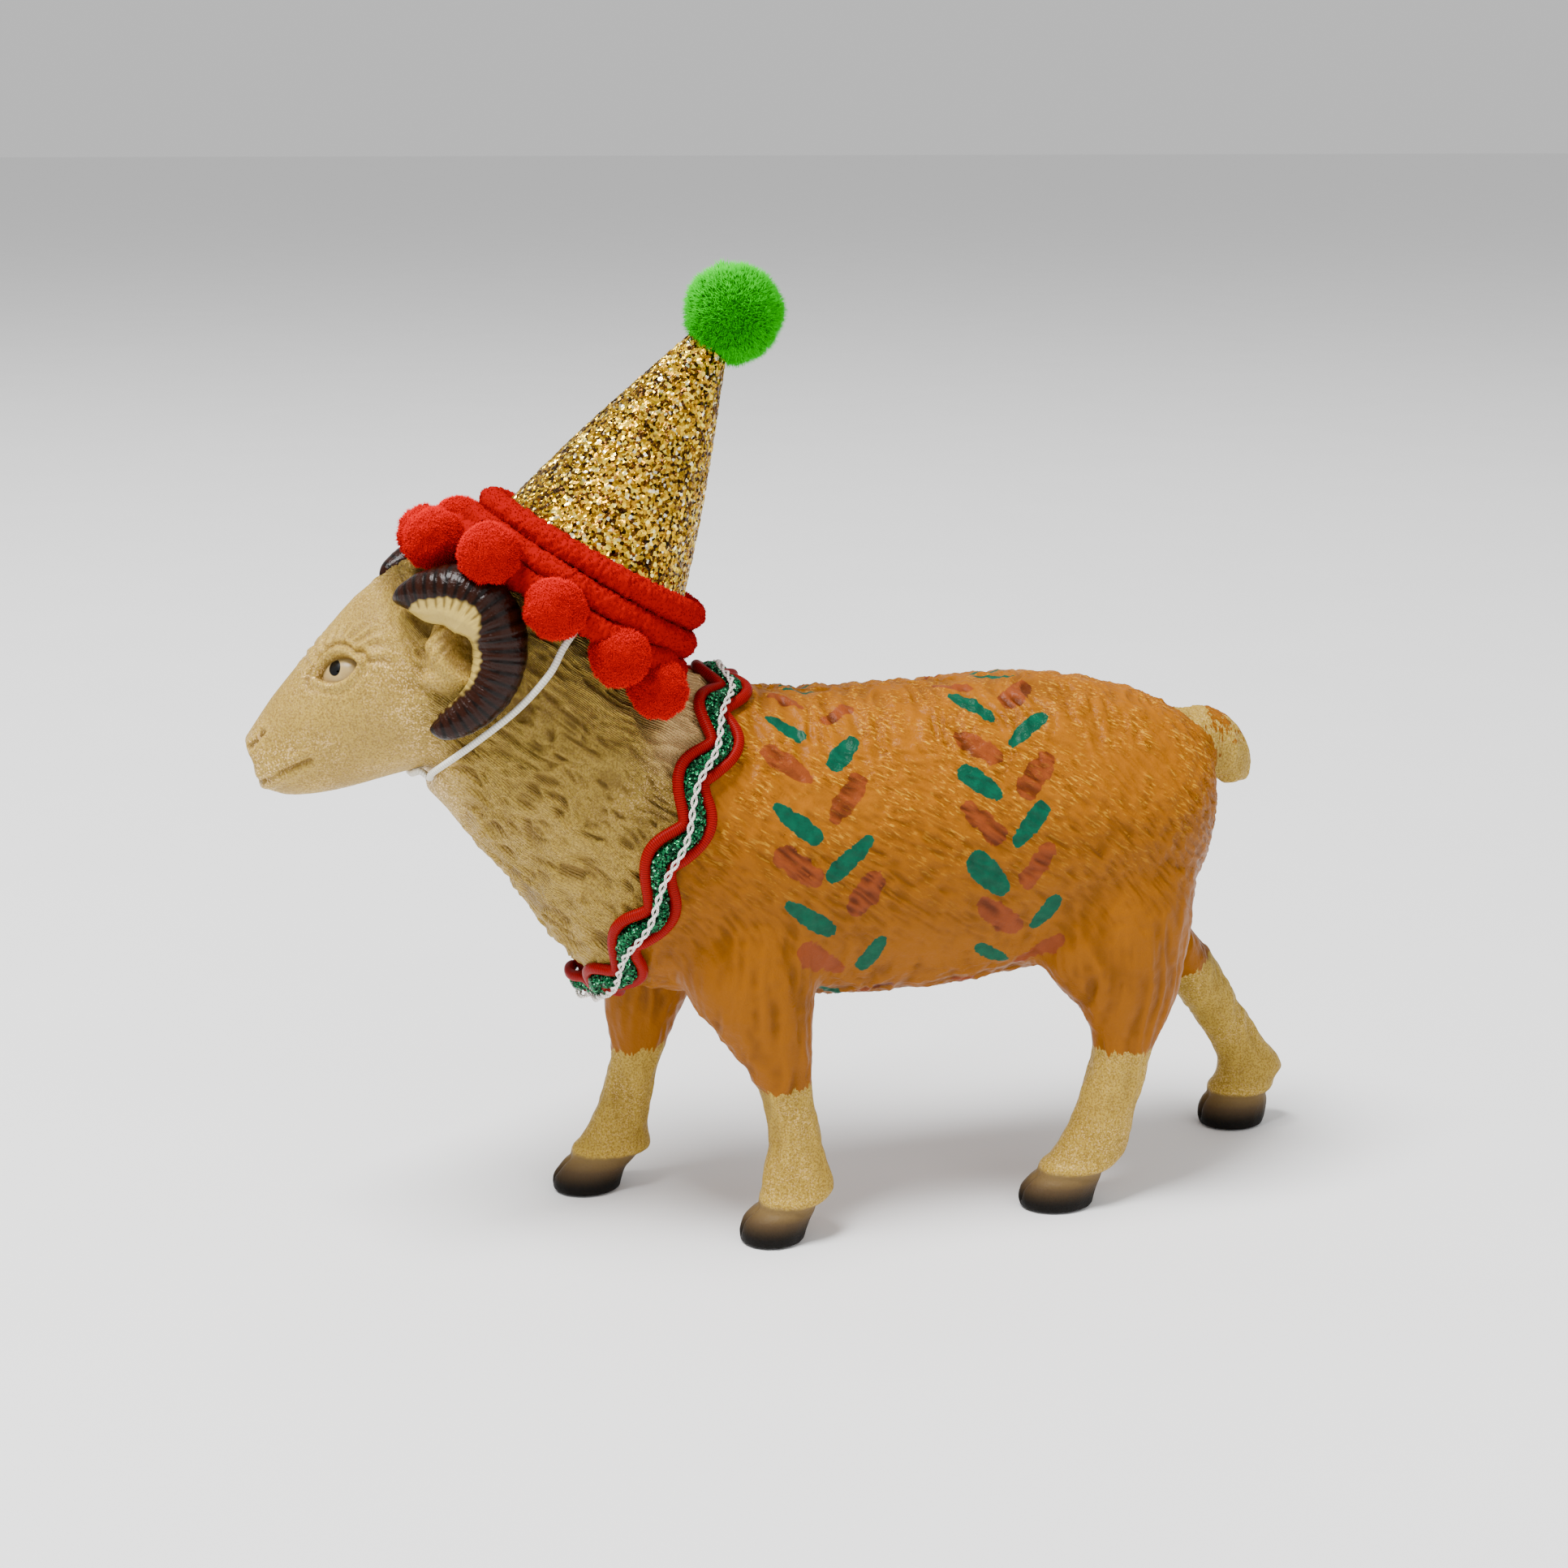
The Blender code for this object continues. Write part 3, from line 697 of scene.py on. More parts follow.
def head_look():
    """Cream vinyl with fine strands on the neck and a dense gold stipple on the face, with painted light by
    the collar and painted shade between the strands.
    """
    look = Look("cream_vinyl", roughness=0.5, Specular_IOR_Level=0.3)
    cream, gold = cream_look(look)
    strands = look.math("SINE", look.times(look.read("strand"), 2 * math.pi / 0.55))
    strands = look.times(strands, look.read("wool"))
    # Painted light: the cream turns paler where this attribute is high, by the collar and a little on the
    # face; the same attribute sets the gold flakes.
    cream = look.mix(look.step(look.read("dust"), 0.75, 1.3, 0, 0.6), cream, colour(232, 190, 132))
    # Painted shade: darker in the grooves between the strands.
    cream = look.mix(look.step(strands, -0.2, -1.0, 0.0, 0.3), cream, colour(132, 100, 40))
    look.drive("Base Color", cream)
    look.drive("Metallic", look.times(gold, 0.55))
    look.drive("Roughness", look.step(gold, 0, 1, 0.55, 0.3))
    stipple = look.bump(look.noise(0.45, 2), 0.26, 0.9)
    look.drive("Normal", look.bump(strands, 0.12, 0.9, stipple))
    return look.material


def horn_look():
    """Dark brown gloss paint with a cream edge."""
    look = Look("horn_gloss", roughness=0.28, Specular_IOR_Level=0.12, Coat_Weight=0.08, Coat_Roughness=0.08)
    relief = look.read("relief")
    # Painted shade and light: both colours are darker in the grooves between the ribs and lighter on their
    # crests and on the smoothed inner face.
    dark = look.mix(look.step(relief, -0.25, 0.3), colour(8, 2, 0), colour(38, 12, 2))
    dark = look.tint(dark, look.noise(3.5, 3), 0.5, colour(20, 5, 1))
    pale = look.mix(look.step(relief, -0.4, 0.4), colour(112, 90, 38), colour(182, 156, 80))
    look.drive("Base Color", look.mix(look.step(look.read("cream"), -0.08, 0.08), dark, pale))
    look.drive("Normal", look.bump(look.noise(0.7, 3), 0.25, 0.8))
    return look.material


def eyeball_look():
    """Painted eyeball: off-white with a glossy black pupil."""
    look = Look("eye_paint", roughness=0.3, Specular_IOR_Level=0.3)
    white = look.mix(look.noise(1.5, 2), colour(150, 124, 74), colour(178, 154, 104))
    look.drive("Base Color", look.mix(look.step(look.read("pupil"), -0.05, 0.05), colour(2, 2, 3), white))
    return look.material


def satin_look():
    """Red satin cord wound from fine threads."""
    look = Look("red_satin", roughness=0.42, Specular_IOR_Level=0.08)
    wound = look.twist(0.42)
    # Painted shade: the red is darker in the grooves between the wound threads.
    red = look.mix(look.step(wound, -1, 1), colour(102, 0, 0), colour(152, 0, 0))
    look.drive("Base Color", look.tint(red, look.noise(5, 2), 0.4, colour(116, 0, 0)))
    look.drive("Normal", look.bump(wound, 0.03, 0.6))
    return look.material


def tinsel_look():
    """Green metallic tinsel: tiny facets that each face their own way."""
    look = Look("green_tinsel_facets", roughness=0.26, Metallic=0.65)
    cell = look.flakes(0.34).outputs["Color"]
    # The palest, white-green flakes at the top of the ramp are painted highlights.
    green = look.ramp(
        look.first_number(cell),
        (0.0, colour(0, 28, 16)),
        (0.4, colour(0, 62, 34)),
        (0.8, colour(0, 98, 54)),
        (0.96, colour(10, 150, 86)),
        (1.0, colour(150, 240, 195)),
    )
    look.drive("Base Color", green)
    look.drive("Normal", look.tilt_cells(cell, 1.3))
    return look.material


def thread_look():
    """White cotton thread."""
    look = Look("white_cotton", roughness=0.85, Sheen_Weight=0.4)
    wound = look.twist(0.5)
    # Painted shade: darker in the grooves of the twist.
    look.drive("Base Color", look.mix(look.step(wound, -1, 1), colour(196, 184, 176), colour(250, 244, 236)))
    look.drive("Normal", look.bump(wound, 0.05, 0.8))
    return look.material


def elastic_look():
    """White round elastic with a fine braided cover."""
    look = Look("white_braid", roughness=0.75, Sheen_Weight=0.3)
    crossing = look.times(look.twist(1.1), look.twist(-1.1))
    # Painted shade: darker in the grooves of the braid.
    cover = look.mix(look.step(crossing, -1, 1), colour(186, 180, 160), colour(240, 238, 226))
    look.drive("Base Color", cover)
    look.drive("Normal", look.bump(crossing, 0.06, 0.8))
    return look.material


def glitter_look():
    """Coarse gold glitter: each flake has its own colour and faces its own way."""
    look = Look("gold_glitter", roughness=0.26, Metallic=0.85)
    cell = look.flakes(0.6).outputs["Color"]
    # The palest, near-white flakes at the top of the ramp are painted glints.
    gold = look.ramp(
        look.first_number(cell),
        (0.0, colour(36, 16, 0)),
        (0.25, colour(96, 56, 0)),
        (0.45, colour(172, 124, 2)),
        (0.75, colour(226, 178, 8)),
        (0.93, colour(255, 226, 80)),
        (1.0, colour(255, 252, 230)),
    )
    shade = look.step(look.noise(11, 2), 0.35, 0.6, 0.45, 0)
    look.drive("Base Color", look.mix(shade, gold, colour(70, 40, 0)))
    look.drive("Normal", look.tilt_cells(cell, 1.1))
    return look.material


def plush_look(name, deep, lit, tip):
    """Fuzzy plush: painted shade deep between its fibres, painted light on their ends."""
    look = Look(name, roughness=0.95, Specular_IOR_Level=0.05)
    reach = look.read("reach")
    body = look.mix(look.step(reach, 0.0, 0.8), deep, lit)
    body = look.mix(look.step(reach, 0.7, 1.0), body, tip)
    look.drive("Base Color", look.tint(body, look.noise(1.6, 2), 0.3, deep))
    return look.material


def card_look():
    """The bare amber inside of the glittered card."""
    look = Look("amber_card", roughness=0.6)
    look.drive("Base Color", look.mix(look.noise(3, 3), colour(120, 76, 12), colour(190, 134, 36)))
    return look.material


# The ram's skin


def joint_distance(points):
    """How far points lie behind the plane in which the neck and the trunk meet."""
    y, z, lean = JOINT[0] + SHIFT_Y, JOINT[1], math.radians(JOINT[2])
    return (points[:, 1] - y) * math.cos(lean) - (points[:, 2] - z) * math.sin(lean)


def skin_tree(mesh):
    """The mesh's faces, to look up the nearest place on them."""
    corners = [tuple(polygon.vertices) for polygon in mesh.polygons]
    return BVHTree.FromPolygons([vertex.co for vertex in mesh.vertices], corners)


def joined_castings(nodes, lobes):
    """The castings of these nodes in one mesh, swollen until they overlap, with the open neck plugged and
    with rounded lobes added on both sides."""
    whole = bmesh.new()
    for centre, half in lobes:
        for side in (1, -1):
            middle = Matrix.Translation(Vector((side * centre[0], *centre[1:])) * MM)
            shape = middle @ Matrix.Diagonal((*(Vector(half) * MM), 1))
            bmesh.ops.create_uvsphere(whole, u_segments=32, v_segments=20, radius=1.0, matrix=shape)
    for node in nodes:
        part = bmesh.new()
        part.from_mesh(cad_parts[node].data)
        bmesh.ops.remove_doubles(part, verts=part.verts, dist=0.001 * MM)
        part.normal_update()
        for vertex in part.verts:
            vertex.co += vertex.normal * INFLATE * MM
        mesh = bpy.data.meshes.new(node + "_casting")
        part.to_mesh(mesh)
        part.free()
        whole.from_mesh(mesh)
    points = np.array([vertex.co for vertex in whole.verts]) / MM
    rim = points[np.abs(joint_distance(points)) < 2.5]
    hull = bmesh.ops.convex_hull(whole, input=[whole.verts.new(point * MM) for point in rim])
    bmesh.ops.delete(whole, geom=[item for item in hull["geom_interior"] if item.is_valid], context="VERTS")
    mesh = bpy.data.meshes.new("castings")
    whole.to_mesh(mesh)
    whole.free()
    return mesh


def outermost(points, edges, faces):
    """Only the connected piece that holds the widest point."""
    label = np.arange(len(points))
    while True:
        lowest = np.minimum(label[edges[:, 0]], label[edges[:, 1]])
        after = label.copy()
        np.minimum.at(after, edges[:, 0], lowest)
        np.minimum.at(after, edges[:, 1], lowest)
        after = after[after]
        if (after == label).all():
            break
        label = after
    kept = label == label[np.argmax(points[:, 0])]
    faces = faces[kept[faces[:, 0]]]
    index = np.cumsum(kept) - 1
    return points[kept], index[faces]


def near_both(points, nodes, reach):
    """1 where the skin is within reach of two castings, and 0 away from where they meet."""
    gaps = []
    for node in nodes:
        tree = skin_tree(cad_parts[node].data)
        low, high = (np.array(corner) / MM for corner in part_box(node))
        close = ((points > low - reach) & (points < high + reach)).all(axis=1)
        gap = np.full(len(points), reach)
        for index in np.flatnonzero(close):
            found = tree.find_nearest(points[index] * MM, reach * MM)
            if found[0]:
                gap[index] = found[3] / MM
        gaps.append(gap)
    if len(gaps) < 2:
        return np.zeros(len(points))
    return 1 - smooth(np.sort(gaps, axis=0)[1], 0.35 * reach, reach)


def skin_mesh(name, nodes, grain, reach, lobes=()):
    """One smooth closed skin over castings that touch, with their joints softened over reach."""
    holder = add(name + "_castings", joined_castings(nodes, lobes))
    remesh = holder.modifiers.new("one_skin", "REMESH")
    remesh.mode = "VOXEL"
    remesh.voxel_size = grain * MM
    bpy.context.view_layer.update()
    evaluated = holder.evaluated_get(bpy.context.evaluated_depsgraph_get())
    merged = bpy.data.meshes.new_from_object(evaluated)
    bpy.data.objects.remove(holder)
    mesh = build_mesh(name, *outermost(mesh_points(merged), mesh_edges(merged), mesh_quads(merged)))
    edges = mesh_edges(mesh)
    points = mesh_points(mesh)
    points = relax(points, edges, 6, np.full(len(points), 0.6))
    points = relax(points, edges, 40, 0.8 * near_both(points, nodes, reach))
    move_points(mesh, points)
    move_points(mesh, points - mesh_normals(mesh) * INFLATE)
    return mesh


def girth(points):
    """How far up the trunk's skin each point is from the middle of the flank, in millimetres."""
    return np.arctan2((points[:, 2] - TRUNK_MIDDLE) / 31, np.abs(points[:, 0]) / 25) * GIRTH_R


def leaf_distance(points, green):
    """Distance from the painted leaves of one colour, negative inside."""
    flat = np.stack([points[:, 1], girth(points)], axis=1)
    nearest = np.full(len(points), 9.0)
    for index, (y, turn, end_y, end_turn, width, is_green) in enumerate(LEAVES):
        if is_green != green:
            continue
        start = np.array([y, math.radians(turn) * GIRTH_R])
        end = np.array([end_y, math.radians(end_turn) * GIRTH_R])
        length = np.linalg.norm(end - start)
        axis = (end - start) / length
        along = (flat - start) @ axis / length
        across = np.abs((flat - start) @ [-axis[1], axis[0]])
        taper = 1 + (0.35 if index % 2 else -0.35) * (along - 0.5)
        half = width * LEAF_FULLNESS * np.clip(4 * along * (1 - along), 0, 1) ** 0.3 * taper
        nearest = np.minimum(nearest, np.maximum(across - half, np.maximum(-along, along - 1) * length))
    return nearest


def leg_of(points):
    """The number of the leg that each point belongs to, by its side and its place along the ram."""
    chosen = np.zeros(len(points), int)
    for index, (side, low, high, *_) in enumerate(LEGS):
        chosen[(points[:, 0] * side > 0) & (points[:, 1] > low) & (points[:, 1] < high)] = index
    return chosen


def ochre_distance(points):
    """How far inside the ochre paint each point is: above the legs' cream socks, off the cream tail."""
    edge, middle, slope = np.array([row[3:] for row in LEGS])[leg_of(points)].T
    above = points[:, 2] - edge - slope * (points[:, 1] - middle)
    return np.minimum(above, 3 * (line_distance(points, TAIL_LINE) - TAIL_R))


def fur_relief(points, sizes, seed):
    """Narrow ridges with soft tips, from -1 to 1."""
    coarse = noise(points, sizes, seed)
    fine = noise(points, np.array(sizes) / 2, seed + 7)
    return (1 - 2.2 * np.abs(coarse)) * 0.75 + fine * 0.45


def body_relief(points):
    """Height of the moulded fur over the trunk and legs, and where single hairs stand out, which the material
    lightens with painted light.
    """
    x, y, z = points.T
    side = np.where(x < 0, 60.0, 0.0)
    up = girth(points)
    drift = noise(points, 22.0, 3) * 2.2 + noise(points, 9.0, 4) * 0.8
    fan = 0.62 * y + 0.5 * np.maximum(y - 40, 0) ** 2 / 40 - 0.5 * np.maximum(5 - y, 0) ** 2 / 60
    strokes = np.stack([y * 0.85 - up * 0.5, up + fan + drift, side], axis=1)
    fur = fur_relief(strokes, (3.6, 1.15, 30.0), 11)
    amount = smooth(z, 52, 74)
    relief = 0.3 * fur * amount
    # Where single hairs stand out, high on the flank; the material paints light there.
    stroke = smooth(z, 60, 84) * (0.35 + 0.65 * smooth(z, 78, 92)) * (1 - 0.5 * smooth(z, 103, 110))
    # Crumpled wrinkles run down from the spine.
    wrinkles = np.stack([y + noise(points, 8.0, 5) * 2.5, up * 0.5, side], axis=1)
    crumple = fur_relief(wrinkles, (2.1, 4.4, 30.0), 21)
    relief += 0.55 * crumple * smooth(z, 92, 104) - 0.2 * fur * smooth(z, 98, 108)
    # Long soft folds and short locks on the belly and legs.
    bend = noise(points, 12.0, 6) * 3
    folds = fur_relief(np.stack([x, y + bend, z], axis=1), (6.0, 3.2, 16.0), 31)
    locks = fur_relief(np.stack([x + bend * 0.3, y + bend * 0.4, z], axis=1), (1.7, 1.7, 7.0), 41)
    relief += (0.42 * folds * smooth(z, 12, 26) + 0.2 * locks * smooth(z, 12, 24)) * (1 - amount)
    relief += 0.12 * noise(points, 1.6, 8)
    return relief, stroke


def tail_relief(points):
    """Locks that run down the tail."""
    around = np.arctan2(points[:, 0], points[:, 1] - TAIL_LINE[1][1])
    lines = np.stack([around * 8, points[:, 2] * 0.4 + points[:, 1] * 0.4, points[:, 0] * 0], axis=1)
    return 0.4 * fur_relief(lines, (1.8, 5.0, 9.0), 51)


def hoof_shape(points):
    """A ledge at each coronet and a cleft at each toe."""
    z = points[:, 2]
    relief = 0.4 * bell(z - HOOF_HEIGHT - 0.8, 1.1) - 0.35 * bell(z - HOOF_HEIGHT + 1, 0.8)
    chosen = leg_of(points)
    for index in range(len(LEGS)):
        mine = (chosen == index) & (z < HOOF_HEIGHT + 3)
        if mine.any():
            middle = points[mine, 0].mean()
            cleft = bell(points[:, 0] - middle, 0.55) * smooth(z, HOOF_HEIGHT + 1, HOOF_HEIGHT - 3)
            relief -= np.where(mine, cleft * 0.9, 0)
    return relief


def ram_body():
    """Trunk, legs and tail in one skin, with the moulded fur, the paint's edges and the hooves."""
    nodes = ("torso", "leg_front_left", "leg_front_right", "leg_hind_left", "leg_hind_right", "tail")
    mesh = skin_mesh("ram_body", nodes, BODY_GRAIN, 6.0)
    points, normals = mesh_points(mesh), mesh_normals(mesh)
    ochre = ochre_distance(points)
    on_tail = smooth(TAIL_R - line_distance(points, TAIL_LINE), -1.5, 1.0)
    relief, stroke = body_relief(points)
    relief = relief * (1 - on_tail) + tail_relief(points) * on_tail
    low = smooth(points[:, 2], 14, 8)
    relief = relief * (1 - low) + hoof_shape(points)
    relief *= smooth(points[:, 2], 0.6, 2.5)
    relief *= 1 - 0.6 * smooth(-joint_distance(points), -4, 0)
    move_points(mesh, points + normals * relief[:, None])
    keep(
        mesh,
        relief=relief,
        stroke=stroke * (1 - on_tail),
        ochre=ochre,
        green=leaf_distance(points, True),
        terracotta=leaf_distance(points, False),
        hoof=HOOF_HEIGHT - points[:, 2],
        dust=np.full(len(points), 0.35),
    )
    place(mesh, skin_look(), "ram", nodes)


def eye_frame():
    """Unit vectors of the left eye: along its opening, up across it, and out of the head."""
    out = (EYE_OUT - EYE_ALONG * EYE_OUT.dot(EYE_ALONG)).normalized()
    return EYE_ALONG, out.cross(EYE_ALONG), out


def eye_relief(points):
    """The almond opening, thick lids, a crease above them, and fine wrinkles round the eye."""
    along, up, out = (np.array(axis) for axis in eye_frame())
    away = points - np.array(EYE)
    a, b, c = away @ along, away @ up, away @ out
    near = (np.abs(c) < 6) & (np.hypot(a, b) < 14)
    lens = np.maximum(1 - (a / EYE_HALF_LENGTH) ** 2, 0)
    top, bottom = EYE_TOP * lens**0.75, -EYE_BOTTOM * lens**0.9
    inside = np.minimum(top - b, b - bottom)
    beyond = np.abs(a) - EYE_HALF_LENGTH
    inside = np.where(beyond < 0, inside, -np.hypot(beyond, b))
    relief = -1.9 * smooth(inside, -0.15, 0.55)
    upper = b > 0.2 - 0.1 * a
    lid = np.where(upper, 0.95, 0.5)
    relief += lid * bell(inside + 0.75, 0.6)
    crease = bell(inside + 2.3, 0.42)
    relief -= np.where(b > -0.6, 0.5, 0.15) * crease
    relief += np.where(b > 0, 0.3, 0.1) * bell(inside + 3.2, 0.6)
    ring = np.hypot(a, b * 1.3)
    rays = np.sin(np.arctan2(b, a) * 19 + ring * 0.7 + noise(points, 4.0, 63) * 1.5)
    relief += 0.3 * rays * smooth(ring, 5.6, 7.5) * smooth(ring, 13, 9.0) * smooth(b + a * 0.4, -1, 3)
    lines = np.sin((a - b * 0.15) * 2 * math.pi / 1.1)
    relief += 0.14 * lines * smooth(-b, 2.8, 4.2) * smooth(-b, 8.5, 6.0) * smooth(np.abs(a), 7, 4)
    return np.where(near, relief, 0)


def face_relief(points):
    """Brow, mouth, nostrils, and the soft swellings of the muzzle."""
    left = mirrored(points)
    relief = eye_relief(left)
    for line, depth, width, bank, bank_at, bank_width in (
        (MOUTH, 0.75, 0.42, 0.3, 1.6, 0.8),
        (NOSTRIL, 0.8, 0.5, 0.2, 1.4, 0.6),
    ):
        away = line_distance(left, line)
        relief += bank * bell(away - bank_at, bank_width) - depth * bell(away, width)
    return relief + 0.18 * noise(points, 5.5, 61)


def ear_relief(points):
    """A deep bowl inside the horn's curl, with ribs over it and a turned lip below."""
    left = mirrored(points)
    y, z = left[:, 1] - BOWL_AT[0], left[:, 2] - BOWL_AT[1]
    on_ear = smooth(left[:, 0], 15, 17)
    ring = np.hypot(y / 6.6, z / 6.6)
    bowl = -3.6 * (1 - smooth(ring, 0.15, 1.05))
    ribs = 0.22 * np.sin(np.hypot(y - 3, z + 7) * 2 * math.pi / 1.5)
    ribs *= smooth(z - y, 1, 4) * smooth(ring, 2.4, 1.2)
    lip = 0.5 * bell(ring - 1.1, 0.12) * smooth(-z - y * 0.2, 0, 3)
    creases = 0.1 * np.sin((y * 0.3 + z * 0.9) * 2 * math.pi / 2.3) * smooth(ring, 1.0, 0.6)
    return (bowl + ribs + lip + creases) * on_ear


def neck_axis(points):
    """How far round the neck each point is, in millimetres from its left side."""
    middle = JOINT[0] + SHIFT_Y - (points[:, 2] - JOINT[1]) * 0.89
    return np.arctan2(points[:, 1] - middle, np.abs(points[:, 0])) * NECK_R


def wool(points):
    """Where the woolly neck is, its locks' height and how far each point is across their strands."""
    y, z = points[:, 1], points[:, 2]
    amount = smooth(y + (z - 100) * 0.3, -79, -71)
    round_neck = neck_axis(points)
    side = np.where(points[:, 0] < 0, 80.0, 0.0)
    bend = noise(points, 7.0, 71) * 1.4
    tufts = []
    for lean, seed in ((0.55, 73), (-0.4, 77)):
        across = (round_neck + bend) * math.cos(lean) + z * math.sin(lean)
        along = z * math.cos(lean) - round_neck * math.sin(lean)
        tufts.append(fur_relief(np.stack([across, along, side], axis=1), (1.9, 3.4, 30.0), seed))
    turned = smooth(noise(points, 4.4, 75), -0.1, 0.1)
    height = 0.75 * (tufts[0] * turned + tufts[1] * (1 - turned)) - 0.15
    height += 0.3 * noise(points, (6.0, 6.0, 4.0), 79)
    return amount, height, round_neck + bend + 0.3 * z


def ram_head():
    """Head, neck and ears in one skin."""
    nodes = ("head_and_neck", "ear_left", "ear_right")
    mesh = skin_mesh("ram_head", nodes[:1], HEAD_GRAIN, 3.0, [(EAR_AT, EAR_HALF), (LIP_AT, LIP_HALF)])
    points, normals = mesh_points(mesh), mesh_normals(mesh)
    amount, locks, strand = wool(points)
    face = face_relief(points) * (1 - amount)
    from_ear = np.hypot(points[:, 1] - EAR_AT[1], points[:, 2] - EAR_AT[2])
    on_ear = smooth(np.abs(points[:, 0]), 15, 17) * smooth(from_ear, 10, 8.5)
    relief = face + locks * amount * (1 - on_ear) + ear_relief(points)
    relief *= 1 - 0.6 * smooth(joint_distance(points), -4, 0)
    # By the collar, and a little on the face, the skin gets more gold flakes and painted light, a paler
    # cream.
    by_collar = smooth(joint_distance(points), -24, -6) * smooth(points[:, 2], 84, 104)
    dust = 0.8 - 0.6 * amount + 1.1 * by_collar
    move_points(mesh, points + normals * relief[:, None])
    keep(mesh, relief=np.clip(relief, -1.2, 1), strand=strand, wool=amount * (1 - on_ear), dust=dust)
    return place(mesh, head_look(), "ram", nodes)


def eyeball(side):
    """A painted eyeball behind the lids."""
    along, up, out = (np.array(axis) for axis in eye_frame())
    ball, faces = ball_grid(48, 32)
    half_sizes = np.array([1.15, 0.85, 0.8]) * EYE_HALF_LENGTH
    ball = ball * half_sizes
    ball[:, 2] += 0.03 * noise(ball, 1.2, 81)
    centre = np.array(EYE) - out * (half_sizes[2] + EYE_SUNK)
    points = centre + ball @ np.stack([along, up, out])
    away = points - np.array(PUPIL)
    pupil = np.hypot((away @ along) / 1.25, (away @ up) / 1.6) - 1
    mesh = build_mesh("eye_" + SIDES[side], *on_side(side, points, faces))
    keep(mesh, pupil=pupil)
    place(mesh, EYE_LOOK, "ram")


def horn_ribs(gone):
    """Sharp ridges across a horn, uneven round it: a factor on its radius at each station and angle."""

    def ribs(index, angles):
        wobble = 0.5 * np.sin(angles + index * 0.05) + 0.4 * np.sin(2 * angles + index * 0.11)
        wobble += 0.35 * math.sin(gone[index] * 1.3) + 0.25 * math.sin(gone[index] * 2.9)
        wave = np.abs(np.sin(math.pi * (gone[index] + wobble) / HORN_RIB))
        fine = np.abs(np.sin(math.pi * (gone[index] * 2.3 - wobble) / HORN_RIB))
        uneven = 0.7 + 0.3 * math.sin(index * 0.33)
        return 0.965 + min(1, gone[index] / 8) * (0.05 * uneven * wave**0.7 + 0.014 * fine)

    return ribs


def horn(side):
    """A ribbed horn that curls over the ear and down behind it, with a cream roof over the ear's bowl."""
    stations = spread(HORN, 300)
    path = np.array([(x, y + SHIFT_Y, z) for x, y, z, _ in stations])
    gone = np.concatenate([[0], np.cumsum(np.linalg.norm(np.diff(path, axis=0), axis=1))])
    rounded = np.clip(np.minimum(gone, gone[-1] - gone) / HORN_END, 0.0002, 1)
    radii = np.array([radius for *_, radius in stations]) * np.sqrt(1 - (1 - rounded) ** 2)
    points, faces, along, _ = sweep(path, radii, HORN_AROUND, horn_ribs(gone))

    middle = np.repeat(path, HORN_AROUND, axis=0)
    reach = points - middle
    size = np.linalg.norm(reach, axis=1)
    inward = (np.array(EAR_AT) - middle) * [0, 1, 1]
    facing = np.sum(reach * inward, axis=1) / np.maximum(size * np.linalg.norm(inward, axis=1), 1e-6)
    roof = smooth(along, 1, 6) * smooth(along, 26, 17)
    plain = smooth(facing, 0.3, 0.6) * (0.35 + 0.65 * roof)
    level = np.repeat(radii, HORN_AROUND) * 0.99
    wanted = size + (level - size) * 0.8 * plain * smooth(along, 1, 4)
    wanted += 2.4 * roof * smooth(facing, 0.1, 1.0) + 0.16 * plain * np.sin(facing * 26)
    points = middle + reach / np.maximum(size, 1e-6)[:, None] * wanted[:, None]

    serration = 0.025 * np.sin(2 * math.pi * along / HORN_RIB) + 0.04 * noise(points, 1.1, 91)
    cream = facing - 0.82 + 0.74 * roof + serration - 0.3 * smooth(along, 44, 54)
    far_side = (-facing - 0.93 + serration) * smooth(along, 30, 40) - 0.2 * smooth(along, 40, 30)
    cream = np.maximum(cream, far_side)
    wave = np.abs(np.sin(math.pi * along / HORN_RIB))
    name = "horn_" + SIDES[side]
    mesh = build_mesh("ribbed_" + name, *on_side(side, points, faces))
    keep(mesh, relief=wave * 0.8 - 0.4 + plain, cream=cream)
    place(mesh, HORN_LOOK, "ram", [name])


# The collar


def skin_point(station, turn, out):
    """A place on one section of the trunk, turned round it from its left side, and lifted off the skin."""
    y, z, lean, half_width, above, below = station
    lean = math.radians(lean)
    up = Vector((0, math.sin(lean), math.cos(lean)))
    height = above if math.sin(turn) > 0 else below
    centre = Vector((0, y + SHIFT_Y, z))
    sideways = Vector(((half_width + out) * math.cos(turn), 0, 0))
    return centre + sideways + up * (height + out) * math.sin(turn)


def collar_point(turn, across, out):
    """A place on the skin at the neck joint: turned round it, moved back along the trunk and out."""
    start = skin_point(JOINT, turn, out)
    along = skin_point(JOINT_NECK if across < 0 else JOINT_TRUNK, turn, out) - start
    return start + along.normalized() * abs(across)


def collar_turn(part):
    """The turn from the left side at a part of the way round from the chest."""
    return COLLAR_START + 2 * math.pi * part


def rickrack_point(part, offset, out):
    """A place on a cord that runs beside the collar's wave, part of the way round from the chest."""
    phase = 2 * math.pi * COLLAR_WAVES * part
    slope = COLLAR_WAVE * 2 * math.pi * COLLAR_WAVES / COLLAR_LENGTH * math.cos(phase)
    across = COLLAR_WAVE * math.sin(phase) + offset / math.hypot(1, slope)
    turn = collar_turn(part - offset * slope / math.hypot(1, slope) / COLLAR_LENGTH)
    return collar_point(turn, across - COLLAR_BOW * math.cos(turn) ** 2, out)


def round_parts(count):
    """Places round the collar, from the end that laps over under the chest to the one beneath it."""
    return [-OVERLAP + (0.988 + OVERLAP) * index / (count - 1) for index in range(count)]


